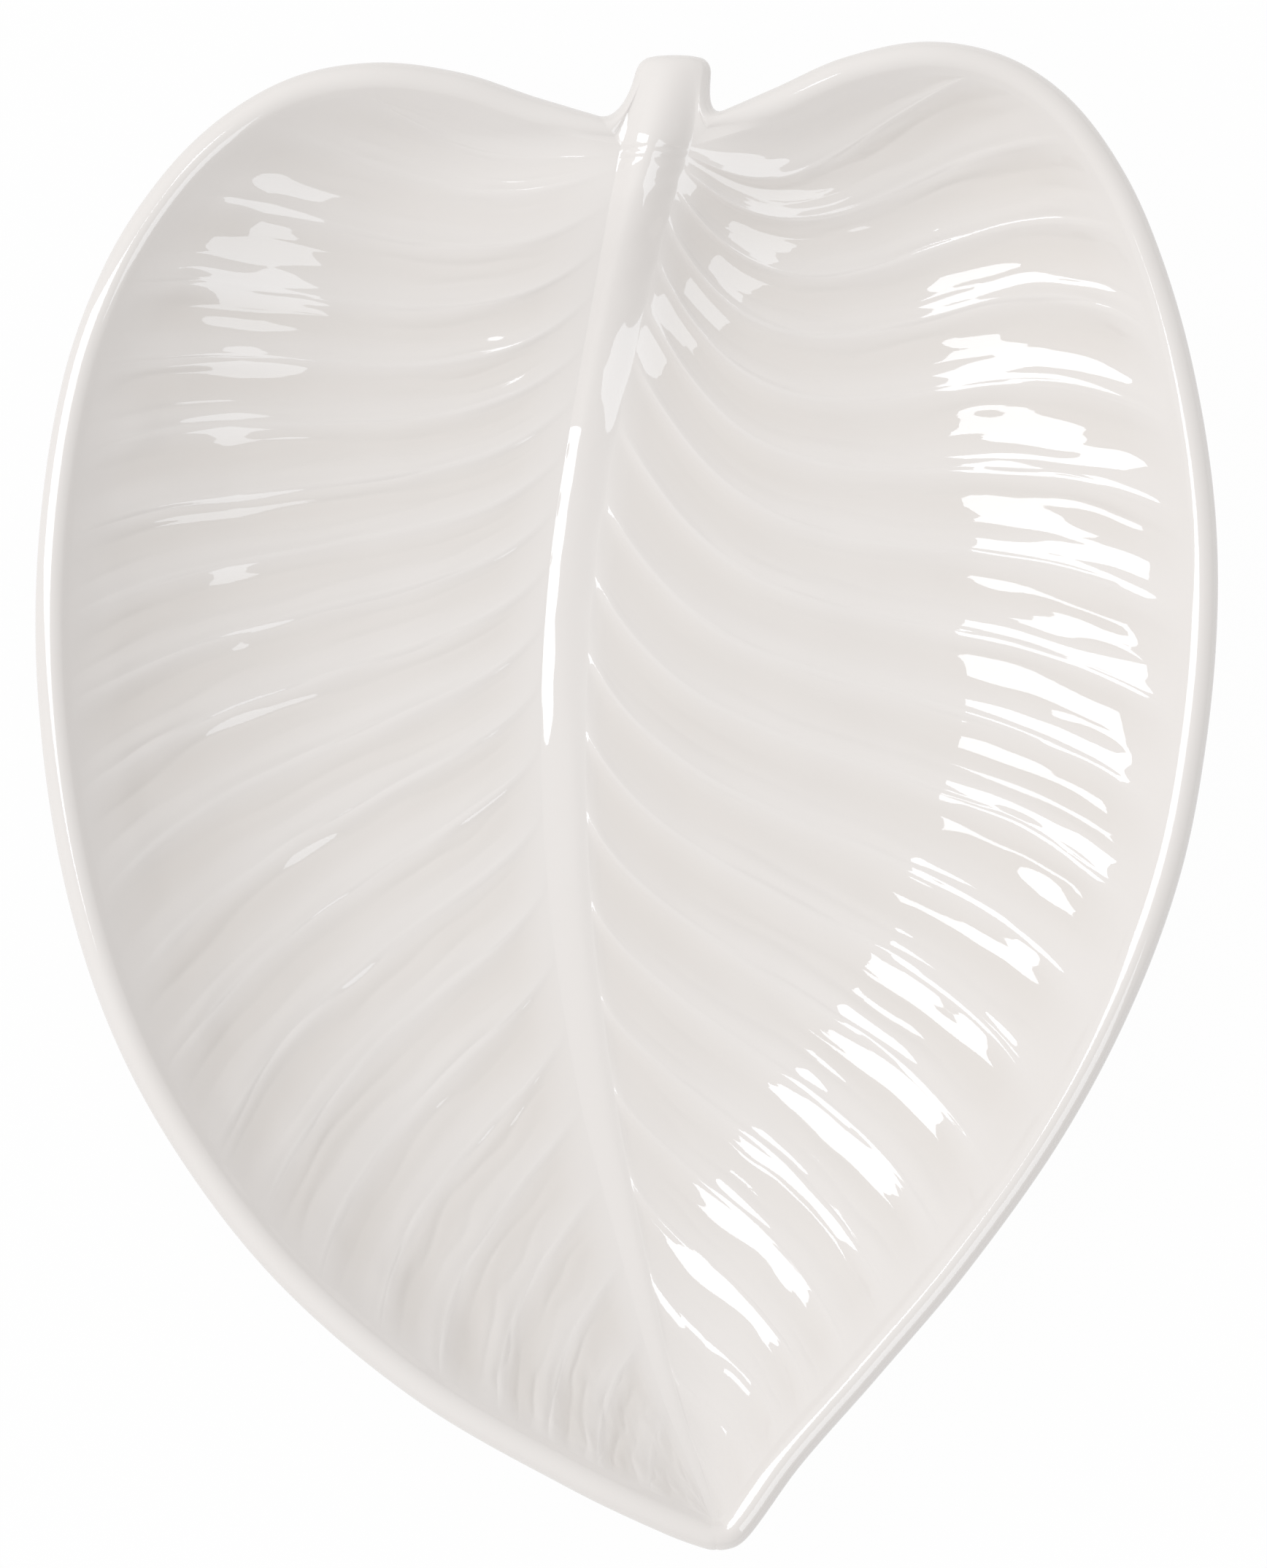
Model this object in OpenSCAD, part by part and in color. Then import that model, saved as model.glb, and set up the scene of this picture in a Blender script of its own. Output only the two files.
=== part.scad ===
// Leaf shaped serving plate: one fired piece with a rolled lip, a raised midrib, pinched veins,
// a short stem and a low ring foot.
// Lengths are in millimetres and angles in degrees. X runs across the leaf, Y along it with the
// stem at +Y, and Z is up. The origin is on the table, under the middle of the leaf.

/* [Plate] */
// Length of the leaf, from its tip to the top of its lobes
plate_l = 300; // [260:1:340]
// Width of the leaf at its widest place
plate_w = 235; // [205:1:265]
// Height of the lip's crown above the table
rim_h = 36; // [31:0.5:42]
// How much higher the two lobes beside the stem stand
lobe_rise = 4; // [1:0.5:7]

/* [Dish] */
// Thickness of the floor inside the foot
floor_t = 5; // [4:0.1:7]
// How far in from the outline the wall's curve reaches, seen from above
dish_reach = 80; // [70:1:90]
// How far in from the outline the underside keeps rising
under_reach = 50; // [44:1:56]
// Height of the wall's broken section where the lip is rolled on
wall_h = 8.2; // [7:0.1:9.5]

/* [Lip] */
// Width of the rolled lip
lip_w = 6.5; // [5.5:0.1:8]
// How far the lip's crown stands over its inner edge
lip_rise = 2; // [1:0.1:3]

/* [Foot] */
// Height of the foot ring
foot_h = 5; // [4.5:0.1:7]
// Width of the foot ring
foot_w = 5; // [4:0.1:8]
// How far inside the flat of the underside the foot ring stands
foot_clear = 8; // [6:0.5:12]

/* [Midrib] */
// Width of the midrib where the stem begins
rib_w = 14; // [11:0.1:16]
// Height of the midrib over the dish where the stem begins
rib_h = 3.3; // [2:0.1:4.5]
// Height of the dish's swell beside the upper midrib
swell_h = 8; // [4:0.5:10]
// How far below the stem the swell is highest
swell_reach = 20; // [16:0.5:25]
// How far the swell spreads to the left of the midrib
swell_left_w = 36; // [28:0.5:44]
// How far the swell spreads to the right of the midrib
swell_right_w = 20; // [16:0.5:26]

/* [Veins] */
// Height of a vein's crest beside the midrib
vein_h = 1.1; // [0.6:0.05:1.5]

/* [Stem] */
// How far the stem reaches past the lobes' notch
stem_l = 11; // [8:0.5:16]
// Width of the stem at its end
stem_w = 15; // [12:0.1:18]
// Thickness of the stem at its end
stem_t = 9; // [7:0.1:11]
// How far the stem's top stands over the lip beside it
stem_rise = 1; // [0:0.1:2.5]

/* [Hidden] */

left = -1;
right = 1;
glaze = "#dedad5";
bare_clay = "#cdc3b4";

// The edge of each half from the stem to the tip: shares of the width and of the length from the
// middle of the leaf, and the share of the lobes' rise
left_edge_shares = [
    [-0.025, 0.453, -0.3], [-0.078, 0.465, 0], [-0.141, 0.48, 0.6], [-0.212, 0.486, 1],
    [-0.281, 0.477, 0.9], [-0.342, 0.451, 0.7], [-0.394, 0.412, 0.4], [-0.442, 0.354, 0.2],
    [-0.478, 0.277, 0], [-0.498, 0.171, 0], [-0.498, 0.064, 0], [-0.477, -0.052, 0],
    [-0.437, -0.153, 0], [-0.377, -0.24, 0], [-0.292, -0.324, 0], [-0.177, -0.4, -0.1],
    [-0.048, -0.458, -0.2], [0.033, -0.488, -0.35], [0.075, -0.5, -0.4]
];
right_edge_shares = [
    [0.083, 0.457, -0.3], [0.125, 0.471, 0], [0.183, 0.49, 0.6], [0.254, 0.5, 1],
    [0.321, 0.49, 1], [0.376, 0.461, 0.9], [0.422, 0.412, 0.6], [0.454, 0.354, 0.4],
    [0.479, 0.284, 0.2], [0.496, 0.2, 0.1], [0.499, 0.122, 0], [0.489, 0.035, 0],
    [0.467, -0.052, 0], [0.426, -0.139, 0], [0.367, -0.226, 0], [0.288, -0.313, 0],
    [0.21, -0.385, -0.1], [0.145, -0.443, -0.2], [0.106, -0.485, -0.35], [0.093, -0.495, -0.4],
    [0.075, -0.5, -0.4]
];

// The midrib from the stem to the tip: share of the way, share of the plate's width to its
// middle, share of its own width, and share of its height
rib_shares = [
    [0, 0.024, 1, 1], [0.075, 0.002, 0.84, 0.5], [0.187, -0.026, 0.71, 0.42],
    [0.301, -0.047, 0.68, 0.42], [0.426, -0.055, 0.67, 0.4], [0.559, -0.048, 0.62, 0.33],
    [0.692, -0.026, 0.52, 0.25], [0.798, 0.002, 0.38, 0.17], [0.904, 0.033, 0.25, 0.08],
    [1, 0.073, 0.08, 0]
];
rib_top_share = 0.432;
rib_tip_share = -0.477;

// The veins of each half, with the ones in between following smoothly: number of the vein, share
// of the way down the midrib, share of the way round the lip, angles of its start and its end
// towards the tip, and how long each of them pulls as a share of the vein's span. The last row is
// the tip, where both halves run out.
left_vein_shares = [
    [0, 0.007, 0.11, 2, -29, 0.42, 0.44], [1, 0.016, 0.162, 20, -16, 0.4, 0.4],
    [3, 0.069, 0.268, 40, 10, 0.38, 0.38], [6, 0.176, 0.394, 46, 28, 0.33, 0.4],
    [9, 0.297, 0.519, 55, 47, 0.26, 0.39], [12, 0.433, 0.657, 58, 64, 0.24, 0.43],
    [15, 0.59, 0.776, 61, 79, 0.28, 0.44], [18, 0.758, 0.881, 50, 91, 0.4, 0.38],
    [21, 0.927, 0.96, 48, 90, 0.38, 0.38], [22.3, 1, 1, 50, 88, 0.36, 0.38]
];
right_vein_shares = [
    [0, 0.006, 0.129, 26, -19, 0.46, 0.41], [1, 0.016, 0.198, 38, 10, 0.5, 0.36],
    [3, 0.053, 0.309, 60, 40, 0.55, 0.42], [6, 0.148, 0.458, 62, 34, 0.53, 0.45],
    [9, 0.309, 0.61, 63, 49, 0.39, 0.4], [12, 0.485, 0.768, 61, 65, 0.32, 0.4],
    [15, 0.688, 0.884, 56, 74, 0.32, 0.38], [18, 0.892, 0.958, 58, 84, 0.33, 0.4],
    [20, 1, 1, 58, 86, 0.33, 0.4]
];

// The section of a vein: share of the way to the next vein, and share of the vein's height
vein_section_shares = [[0, 1], [0.2, -0.35], [0.5, 0.05], [0.8, 0.5]];
// A vein's height along it: share of the way to the lip, and share of its height
vein_height_shares = [[0, 0], [0.03, 0.85], [0.08, 1], [0.25, 0.8], [0.6, 0.55], [0.9, 0.3], [1, 0]];
// Over how many veins the relief dies out towards the tip
vein_fade = 2;
// How close to the tip, in veins, the last row may come
vein_gap = 0.15;

// Where the faces of the dish are divided between the midrib and the lip
top_column_shares = [0, 0.03, 0.08, 0.15, 0.25, 0.36, 0.48, 0.6, 0.71, 0.81, 0.9, 1];
under_column_shares = [0, 0.16, 0.32, 0.48, 0.64, 0.82, 1];
// Where the midrib's faces are divided, as shares of its half width
rib_column_shares = [0.35, 0.75, 1];

// Angles round the lip's roll, from its inner to its outer side
roll_angles = [45, 90, 135, 180, 225];
// Angles round the stem's end, from under the left lip over the top to under the right lip, then
// to the two lower corners of the midrib
stem_angles = [218, 192, 170, 152, 138, 124, 111, 97, 83, 69, 56, 42, 28, 10, -12, -38, -66, -114];
// The rings along the stem: share of the way to its end, and share of its full section
stem_ring_shares = [[0.1, 1], [0.22, 1], [0.38, 1], [0.56, 1], [0.75, 1], [0.9, 0.97], [0.97, 0.85], [1, 0.62]];
// How softly the midrib's flanks run into the dish: at 0.5 it is half an ellipse, at 1 a parabola
rib_flank_power = 1.6;
// How sharply the notch's fillets draw in to the stem
stem_draw = 3;
// The middle of the stem's end as a share of the width
stem_x_share = 0.04;

// How steeply the wall and the underside rise towards the lip
wall_power = 3;
under_power = 1.9;
// How the hollow under the swell closes towards the foot
swell_fade_power = 0.8;
// Places sampled along each half of the edge, and across the stem's root
edge_samples = 80;
root_samples = 4;
// Corners of the foot ring, and steps of the search for its line
foot_corners = 72;
foot_steps = 14;
// Where on the edge the lip's section at the midrib's end stands
tip_edge_share = 0.995;

floor_z = foot_h + floor_t;
foot_inset = under_reach + foot_clear;
rib_top_y = rib_top_share * plate_l;
rib_tip_y = rib_tip_share * plate_l;

function mix(a, b, share) = a + (b - a) * share;
function flat(p) = [p[0], p[1]];
function at_height(p, z) = [p[0], p[1], z];

// Smooth curve through the rows of a table, whose first column is the place along it
function curve_at(table, x) =
    let (
        last = len(table) - 1,
        i = min(max([0, for (n = [0:last]) if (table[n][0] <= x) n]), last - 1),
        a = table[i],
        b = table[i + 1],
        before = table[max(i - 1, 0)],
        after = table[min(i + 2, last)],
        step = b[0] - a[0],
        s = (x - a[0]) / step,
        leave = (b - before) * (step / (b[0] - before[0])),
        arrive = (after - a) * (step / (after[0] - a[0]))
    )
    mix(a, b, s * s * (3 - 2 * s)) + leave * (s * (1 - s) * (1 - s)) - arrive * (s * s * (1 - s));

// Share of the way along a line of points at each point
function way_shares(points) =
    let (
        steps = [for (i = [1:len(points) - 1]) norm(points[i] - points[i - 1])],
        runs = [for (i = 0, run = 0; i <= len(steps); run = run + (i < len(steps) ? steps[i] : 0), i = i + 1) run]
    )
    runs / runs[len(steps)];

// The edge of one half: share of the way, place, and height of the lip's crown
function edge_table(shares) =
    let (
        points = [for (s = shares) [s[0] * plate_w, s[1] * plate_l]],
        ways = way_shares(points)
    )
    [for (i = [0:len(points) - 1]) [ways[i], each points[i], rim_h + shares[i][2] * lobe_rise]];

// The midrib: share of the way, middle, half width, and height
rib_table = [for (s = rib_shares) [s[0], s[1] * plate_w, s[2] * rib_w / 2, s[3] * rib_h]];
function rib_point(way, across) =
    let (here = curve_at(rib_table, way))
    [here[1] + across * here[2], mix(rib_top_y, rib_tip_y, way)];

// The line where the lip meets the dish, one lip's width inside the edge
function lip_table(side, edge) =
    let (last = len(edge) - 1)
    [for (i = [0:last])
        let (
            run = [for (c = [1:2]) edge[min(i + 1, last)][c] - edge[max(i - 1, 0)][c]],
            inward = side * [run[1], -run[0]] / norm(run),
            place = [edge[i][1], edge[i][2]] + lip_w * inward
        )
        [edge[i][0], each (i == 0 ? rib_point(0, side) : i == last ? rib_point(1, side) : place)]];

left_edge = edge_table(left_edge_shares);
right_edge = edge_table(right_edge_shares);
left_lip = lip_table(left, left_edge);
right_lip = lip_table(right, right_edge);

function edge_at(side, way) =
    let (here = curve_at(side == left ? left_edge : right_edge, way))
    [here[1], here[2], here[3]];
function lip_at(side, way) =
    let (here = curve_at(side == left ? left_lip : right_lip, way))
    [here[1], here[2]];
function veins_of(side) = side == left ? left_vein_shares : right_vein_shares;

// Veins are smooth curves that leave the midrib and arrive at the lip at their own angles
function heading(side, angle) = [side * cos(angle), -sin(angle)];
function vein_curve(side, number) =
    let (
        row = curve_at(veins_of(side), number),
        root = rib_point(row[1], side),
        end = lip_at(side, row[2]),
        span = norm(end - root)
    )
    [root, root + row[5] * span * heading(side, row[3]), end - row[6] * span * heading(side, row[4]), end];
function on_curve(c, t) =
    let (u = 1 - t)
    u * u * u * c[0] + 3 * u * u * t * c[1] + 3 * u * t * t * c[2] + t * t * t * c[3];

// The rows of one half: first the lip line above the first vein, then along and between the veins
function last_vein(side) = veins_of(side)[len(veins_of(side)) - 1][0];
function rows_of(side) = [
    for (number = [-1:last_vein(side)], part = vein_section_shares)
        if (number + part[0] < last_vein(side) - vein_gap) number + part[0],
    last_vein(side)
];
function row_points(side, number, columns) =
    let (curve = vein_curve(side, max(number, 0)), first_way = veins_of(side)[0][2])
    [for (t = columns)
        number >= 0 ? on_curve(curve, t) : mix(lip_at(side, first_way * t), on_curve(curve, t), number + 1)];

// Samples round the whole edge, closed across the stem's root
function side_samples(side) = [
    for (i = [0:edge_samples - 1])
        let (
            here = edge_at(side, (i + 0.5) / edge_samples),
            length = norm(flat(edge_at(side, (i + 1) / edge_samples) - edge_at(side, i / edge_samples)))
        )
        [flat(here), length, here[2]]
];
root_line = [edge_at(left, 0), edge_at(right, 0)];
samples = concat(
    side_samples(left), side_samples(right),
    [for (i = [0:root_samples - 1])
        let (here = mix(root_line[0], root_line[1], (i + 0.5) / root_samples))
        [flat(here), norm(flat(root_line[1] - root_line[0])) / root_samples, here[2]]]
);
sample_places = [for (s = samples) s[0]];
sample_lengths = [for (s = samples) s[1]];
sample_heights = [for (s = samples) s[2]];
sample_ones = [for (s = samples) 1];

// Smooth distance to the edge, and the height of the lip's crown there
straight_edge_sum = 3 * PI / 8;
function near_edge(p) =
    let (
        pulls = [for (i = [0:len(samples) - 1])
            let (gap = p - sample_places[i])
            sample_lengths[i] / pow(gap * gap, 3)],
        total = pulls * sample_ones
    )
    [pow(straight_edge_sum / total, 0.2), pulls * sample_heights / total];

// Height of the dish's swell beside the upper midrib
function swell_at(p) =
    let (
        down = max(rib_top_y - p[1], 0) / swell_reach,
        way = min(max((rib_top_y - p[1]) / (rib_top_y - rib_tip_y), 0), 1),
        gap = p[0] - rib_point(way, 0)[0],
        across = gap / (gap < 0 ? swell_left_w : swell_right_w)
    )
    swell_h * down * down * exp(2 - 2 * down) * exp(-across * across);

// The upper face of the dish without its relief, and the underside
function top_z(p) =
    let (near = near_edge(p), climb = max(dish_reach - near[0], 0) / (dish_reach - lip_w))
    floor_z + (near[1] - lip_rise - floor_z) * pow(climb, wall_power) + swell_at(p);
function under_z(p) =
    let (near = near_edge(p), climb = max(under_reach - near[0], 0) / (under_reach - lip_w))
    foot_h + (near[1] - lip_rise - wall_h - foot_h) * pow(climb, under_power)
        + swell_at(p) * pow(min(climb, 1), swell_fade_power);

function on_top(points) = [for (p = points) at_height(p, top_z(p))];
function on_under(points) = [for (p = points) at_height(p, under_z(p))];

// Relief of the veins over the dish, none on the seams with the midrib and the lip
function relief(side, number, t) =
    let (
        part = number - floor(number),
        section = [for (s = vein_section_shares) if (abs(s[0] - part) < vein_gap) s[1]],
        fade = min(number + 1, (last_vein(side) - number) / vein_fade, 1)
    )
    len(section) == 0 ? 0 : vein_h * section[0] * fade * lookup(t, vein_height_shares);

// Faces of a quadrilateral, leaving out what has shrunk to a line
function tri(a, b, c, turned) = a == b || b == c || c == a ? [] : [turned ? [c, b, a] : [a, b, c]];
function quad(a, b, c, d, turned) = concat(tri(a, b, c, turned), tri(a, c, d, turned));
// Faces between two lines of vertices, given each vertex's place along its line
function strip(a, a_ways, b, b_ways, turned) =
    let (
        a_mid = [for (i = [0:len(a) - 2]) (a_ways[i] + a_ways[i + 1]) / 2],
        b_mid = [for (i = [0:len(b) - 2]) (b_ways[i] + b_ways[i + 1]) / 2]
    )
    concat(
        [for (i = [0:len(a) - 2])
            let (j = len([for (m = b_mid) if (m < a_mid[i]) m]))
            each tri(a[i], a[i + 1], b[j], turned)],
        [for (j = [0:len(b) - 2])
            let (i = len([for (m = a_mid) if (m <= b_mid[j]) m]))
            each tri(b[j + 1], b[j], a[i], turned)]
    );

// One half of the dish between the midrib and the lip
module blade(side) {
    rows = rows_of(side);
    last = len(rows) - 1;
    first_vein = len([for (r = rows) if (r < 0) r]);
    top_cols = len(top_column_shares);
    under_cols = len(under_column_shares);
    top_points = [for (r = rows)
        let (points = on_top(row_points(side, r, top_column_shares)))
        each [for (j = [0:top_cols - 1]) points[j] + [0, 0, relief(side, r, top_column_shares[j])]]];
    edge_points = on_under(row_points(side, rows[0], top_column_shares));
    under_points = [for (i = [1:last]) each on_under(row_points(side, rows[i], under_column_shares))];
    under_start = len(top_points);
    rest_start = under_start + len(edge_points);

    function top(i, j) =
        i == last ? last * top_cols : j == top_cols - 1 && i <= first_vein ? j : i * top_cols + j;
    function under(i, j) =
        i == last ? rest_start + (last - 1) * under_cols :
        j == under_cols - 1 && i <= first_vein ? rest_start - 1 :
        i == 0 ? under_start : rest_start + (i - 1) * under_cols + j;

    turned = side == left;
    upper = [for (i = [0:last - 1], j = [0:top_cols - 2])
        each quad(top(i, j), top(i, j + 1), top(i + 1, j + 1), top(i + 1, j), turned)];
    lower = [for (i = [1:last - 1], j = [0:under_cols - 2])
        each quad(under(i, j), under(i + 1, j), under(i + 1, j + 1), under(i, j + 1), turned)];
    lower_edge = strip(
        [for (j = [0:top_cols - 1]) under_start + j], top_column_shares,
        [for (j = [0:under_cols - 1]) under(1, j)], under_column_shares, !turned
    );
    rib_wall = [for (i = [0:last - 1])
        each quad(top(i, 0), top(i + 1, 0), under(i + 1, 0), under(i, 0), turned)];
    lip_wall = [for (i = [0:last - 1])
        each quad(
            top(i + 1, top_cols - 1), top(i, top_cols - 1),
            under(i, under_cols - 1), under(i + 1, under_cols - 1), turned
        )];
    lobe_wall = [for (j = [0:top_cols - 2])
        each quad(top(0, j + 1), top(0, j), under_start + j, under_start + j + 1, turned)];
    polyhedron(
        concat(top_points, edge_points, under_points),
        concat(upper, lower, lower_edge, rib_wall, lip_wall, lobe_wall)
    );
}

module left_blade() {
    color(glaze)
    blade(left);
}

module right_blade() {
    color(glaze)
    blade(right);
}

// Points across one half of the midrib at a row, from its seam with the blade inwards
function rib_way(side, number) =
    let (ways = veins_of(side))
    number >= 0 ? curve_at(ways, number)[1] : ways[0][1] * (number + 1);
function rib_points(side, number) =
    let (
        way = rib_way(side, number),
        seam = row_points(side, number, [0])[0],
        height = curve_at(rib_table, way)[3]
    )
    [for (c = rib_column_shares)
        let (place = c == 1 ? seam : rib_point(way, side * c))
        at_height(place, top_z(place) + height * pow(1 - c * c, rib_flank_power))];

module midrib() {
    color(glaze)
    rib_solid();
}

module rib_solid() {
    left_rows = rows_of(left);
    right_rows = rows_of(right);
    cols = len(rib_column_shares);
    left_ways = [for (r = left_rows) rib_way(left, r)];
    right_ways = [for (r = right_rows) rib_way(right, r)];
    left_top = [for (r = left_rows) each rib_points(left, r)];
    right_top = [for (r = right_rows) each rib_points(right, r)];
    left_under = [for (r = left_rows) each on_under(row_points(left, r, [0]))];
    right_under = [for (r = right_rows) each on_under(row_points(right, r, [0]))];
    right_start = len(left_top);
    left_low = right_start + len(right_top);
    right_low = left_low + len(left_under);
    left_last = len(left_rows) - 1;
    right_last = len(right_rows) - 1;

    function line(start, last, j) = [for (i = [0:last]) start + i * cols + j];
    function plain(start, last) = [for (i = [0:last]) start + i];
    function side_faces(start, low, last, turned) = [for (i = [0:last - 1]) each concat(
        [for (j = [0:cols - 2])
            let (here = start + i * cols + j)
            each quad(here, here + 1, here + cols + 1, here + cols, turned)],
        quad(start + (i + 1) * cols - 1, low + i, low + i + 1, start + (i + 2) * cols - 1, turned)
    )];
    function section(i, k) = concat(
        [left_low + i], [for (j = [cols - 1:-1:0]) i * cols + j],
        [for (j = [0:cols - 1]) right_start + k * cols + j], [right_low + k]
    );
    root = section(0, 0);
    polyhedron(
        concat(left_top, right_top, left_under, right_under),
        concat(
            side_faces(0, left_low, left_last, true),
            side_faces(right_start, right_low, right_last, false),
            strip(line(0, left_last, 0), left_ways, line(right_start, right_last, 0), right_ways, true),
            strip(plain(left_low, left_last), left_ways, plain(right_low, right_last), right_ways, false),
            [[for (i = [len(root) - 1:-1:0]) root[i]]],
            [section(left_last, right_last)]
        )
    );
}

// Section of the lip between its seam with the dish and the edge: the seam's foot, the seam's top
// and the roll
function lip_section(inner, outer) =
    let (
        reach = norm(flat(outer) - inner),
        out = (flat(outer) - inner) / reach,
        roll_r = min(reach, lip_w) / 2
    )
    concat(
        [at_height(inner, under_z(inner)), at_height(inner, top_z(inner))],
        [for (a = roll_angles)
            at_height(inner + (reach - roll_r - roll_r * cos(a)) * out, outer[2] - roll_r + roll_r * sin(a))]
    );
function rim_sections(side) =
    let (
        first_way = veins_of(side)[0][2],
        rows = rows_of(side),
        middle = (rib_point(1, left) + rib_point(1, right)) / 2
    )
    concat(
        [for (t = top_column_shares) lip_section(lip_at(side, first_way * t), edge_at(side, first_way * t))],
        [for (r = rows)
            if (r > 0 && r < last_vein(side))
                let (way = curve_at(veins_of(side), r)[2])
                lip_section(lip_at(side, way), edge_at(side, way))],
        [lip_section(lip_at(side, 1), edge_at(side, tip_edge_share)), lip_section(middle, edge_at(side, 1))]
    );

// The rolled lip of one half, from the stem to the tip
module rim(side) {
    sections = rim_sections(side);
    last = len(sections) - 1;
    count = len(sections[0]);
    turned = side == left;
    first = [for (j = [0:count - 1]) j];
    end = [for (j = [0:count - 1]) last * count + j];
    polyhedron(
        [for (s = sections) each s],
        concat(
            [for (i = [0:last - 1], j = [0:count - 1])
                let (next = (j + 1) % count)
                each quad(
                    i * count + j, i * count + next, (i + 1) * count + next, (i + 1) * count + j, turned
                )],
            [turned ? first : [for (j = [count - 1:-1:0]) first[j]]],
            [turned ? [for (j = [count - 1:-1:0]) end[j]] : end]
        )
    );
}

module left_rim() {
    color(glaze)
    rim(left);
}

module right_rim() {
    color(glaze)
    rim(right);
}

module stem() {
    color(glaze)
    stem_solid();
}

// The stem grows out of the first sections of both lips and of the midrib
module stem_solid() {
    left_end = lip_section(lip_at(left, 0), edge_at(left, 0));
    right_end = lip_section(lip_at(right, 0), edge_at(right, 0));
    roll = len(roll_angles);
    left_rib = rib_points(left, -1);
    right_rib = rib_points(right, -1);
    cols = len(rib_column_shares);
    base = concat(
        [for (j = [roll + 1:-1:1]) left_end[j]],
        [for (j = [cols - 2:-1:0]) left_rib[j]],
        [for (j = [0:cols - 2]) right_rib[j]],
        [for (j = [1:roll + 1]) right_end[j]],
        [right_end[0], left_end[0]]
    );
    count = len(base);
    notch = (left_end[roll] + right_end[roll]) / 2;
    crown = (edge_at(left, 0)[2] + edge_at(right, 0)[2]) / 2;
    end_middle = [stem_x_share * plate_w, notch[1] + stem_l, crown + stem_rise - stem_t / 2];
    rings = [for (ring = stem_ring_shares)
        let (draw = 1 - pow(1 - ring[0], stem_draw))
        [for (i = [0:count - 1])
            let (
                end_x = end_middle[0] + ring[1] * stem_w / 2 * cos(stem_angles[i]),
                end_z = end_middle[2] + ring[1] * stem_t / 2 * sin(stem_angles[i])
            )
            [mix(base[i][0], end_x, draw), mix(base[i][1], end_middle[1], ring[0]), mix(base[i][2], end_z, draw)]]];
    ring_count = len(rings);
    left_root = [for (i = [0:roll]) i];
    rib_root = [for (i = [roll:count - roll - 3]) i];
    right_root = [for (i = [count - roll - 3:count - 3]) i];
    middle = (ring_count + 1) * count;
    polyhedron(
        concat(base, [for (r = rings) each r], [end_middle]),
        concat(
            [for (k = [0:ring_count - 1], i = [0:count - 1])
                let (next = (i + 1) % count)
                each quad(k * count + i, k * count + next, (k + 1) * count + next, (k + 1) * count + i, true)],
            [for (i = [0:count - 1])
                [middle, ring_count * count + (i + 1) % count, ring_count * count + i]],
            [concat([count - 1], left_root), concat([count - 1], rib_root, [count - 2]),
                concat([count - 2], right_root)]
        )
    );
}

// Line round the middle of the dish at an even distance in from the edge
function foot_line(inset) = [
    for (i = [0:foot_corners - 1])
        let (angle = 360 * i / foot_corners, way = [cos(angle), sin(angle)])
        way * line_reach(way, inset, 0, plate_w / 2, foot_steps)
];
function line_reach(way, inset, low, high, steps) =
    let (try = (low + high) / 2)
    steps == 0 ? try :
    near_edge(way * try)[0] > inset ? line_reach(way, inset, try, high, steps - 1) :
    line_reach(way, inset, low, try, steps - 1);

module foot_ring() {
    color(bare_clay)
    linear_extrude(foot_h)
    difference() {
        polygon(foot_line(foot_inset));
        polygon(foot_line(foot_inset + foot_w));
    }
}

left_blade();
right_blade();
midrib();
stem();
left_rim();
right_rim();
foot_ring();
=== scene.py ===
import math

import bpy
import numpy as np
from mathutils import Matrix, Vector


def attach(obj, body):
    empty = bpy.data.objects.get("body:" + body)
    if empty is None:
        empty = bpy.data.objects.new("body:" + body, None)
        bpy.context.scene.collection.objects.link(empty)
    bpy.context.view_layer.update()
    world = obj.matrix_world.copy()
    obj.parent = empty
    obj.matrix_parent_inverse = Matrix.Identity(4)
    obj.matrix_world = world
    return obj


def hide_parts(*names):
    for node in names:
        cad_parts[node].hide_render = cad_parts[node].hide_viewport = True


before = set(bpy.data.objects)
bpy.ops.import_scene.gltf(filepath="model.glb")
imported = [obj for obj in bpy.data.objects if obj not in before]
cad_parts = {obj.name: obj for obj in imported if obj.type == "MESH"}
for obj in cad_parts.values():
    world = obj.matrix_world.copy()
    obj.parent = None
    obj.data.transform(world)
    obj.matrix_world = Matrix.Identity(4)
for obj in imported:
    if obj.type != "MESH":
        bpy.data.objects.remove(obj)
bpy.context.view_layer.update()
print("frame loaded:", ", ".join(sorted(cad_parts)))

mm = 0.001
weldGap = 0.0001 * mm  # points of a piece that are closer than this are one
meetGap = 0.001 * mm  # and skins that are closer than this share their normals
left, right = -1, 1
sideNames = {left: "left", right: "right"}

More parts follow.
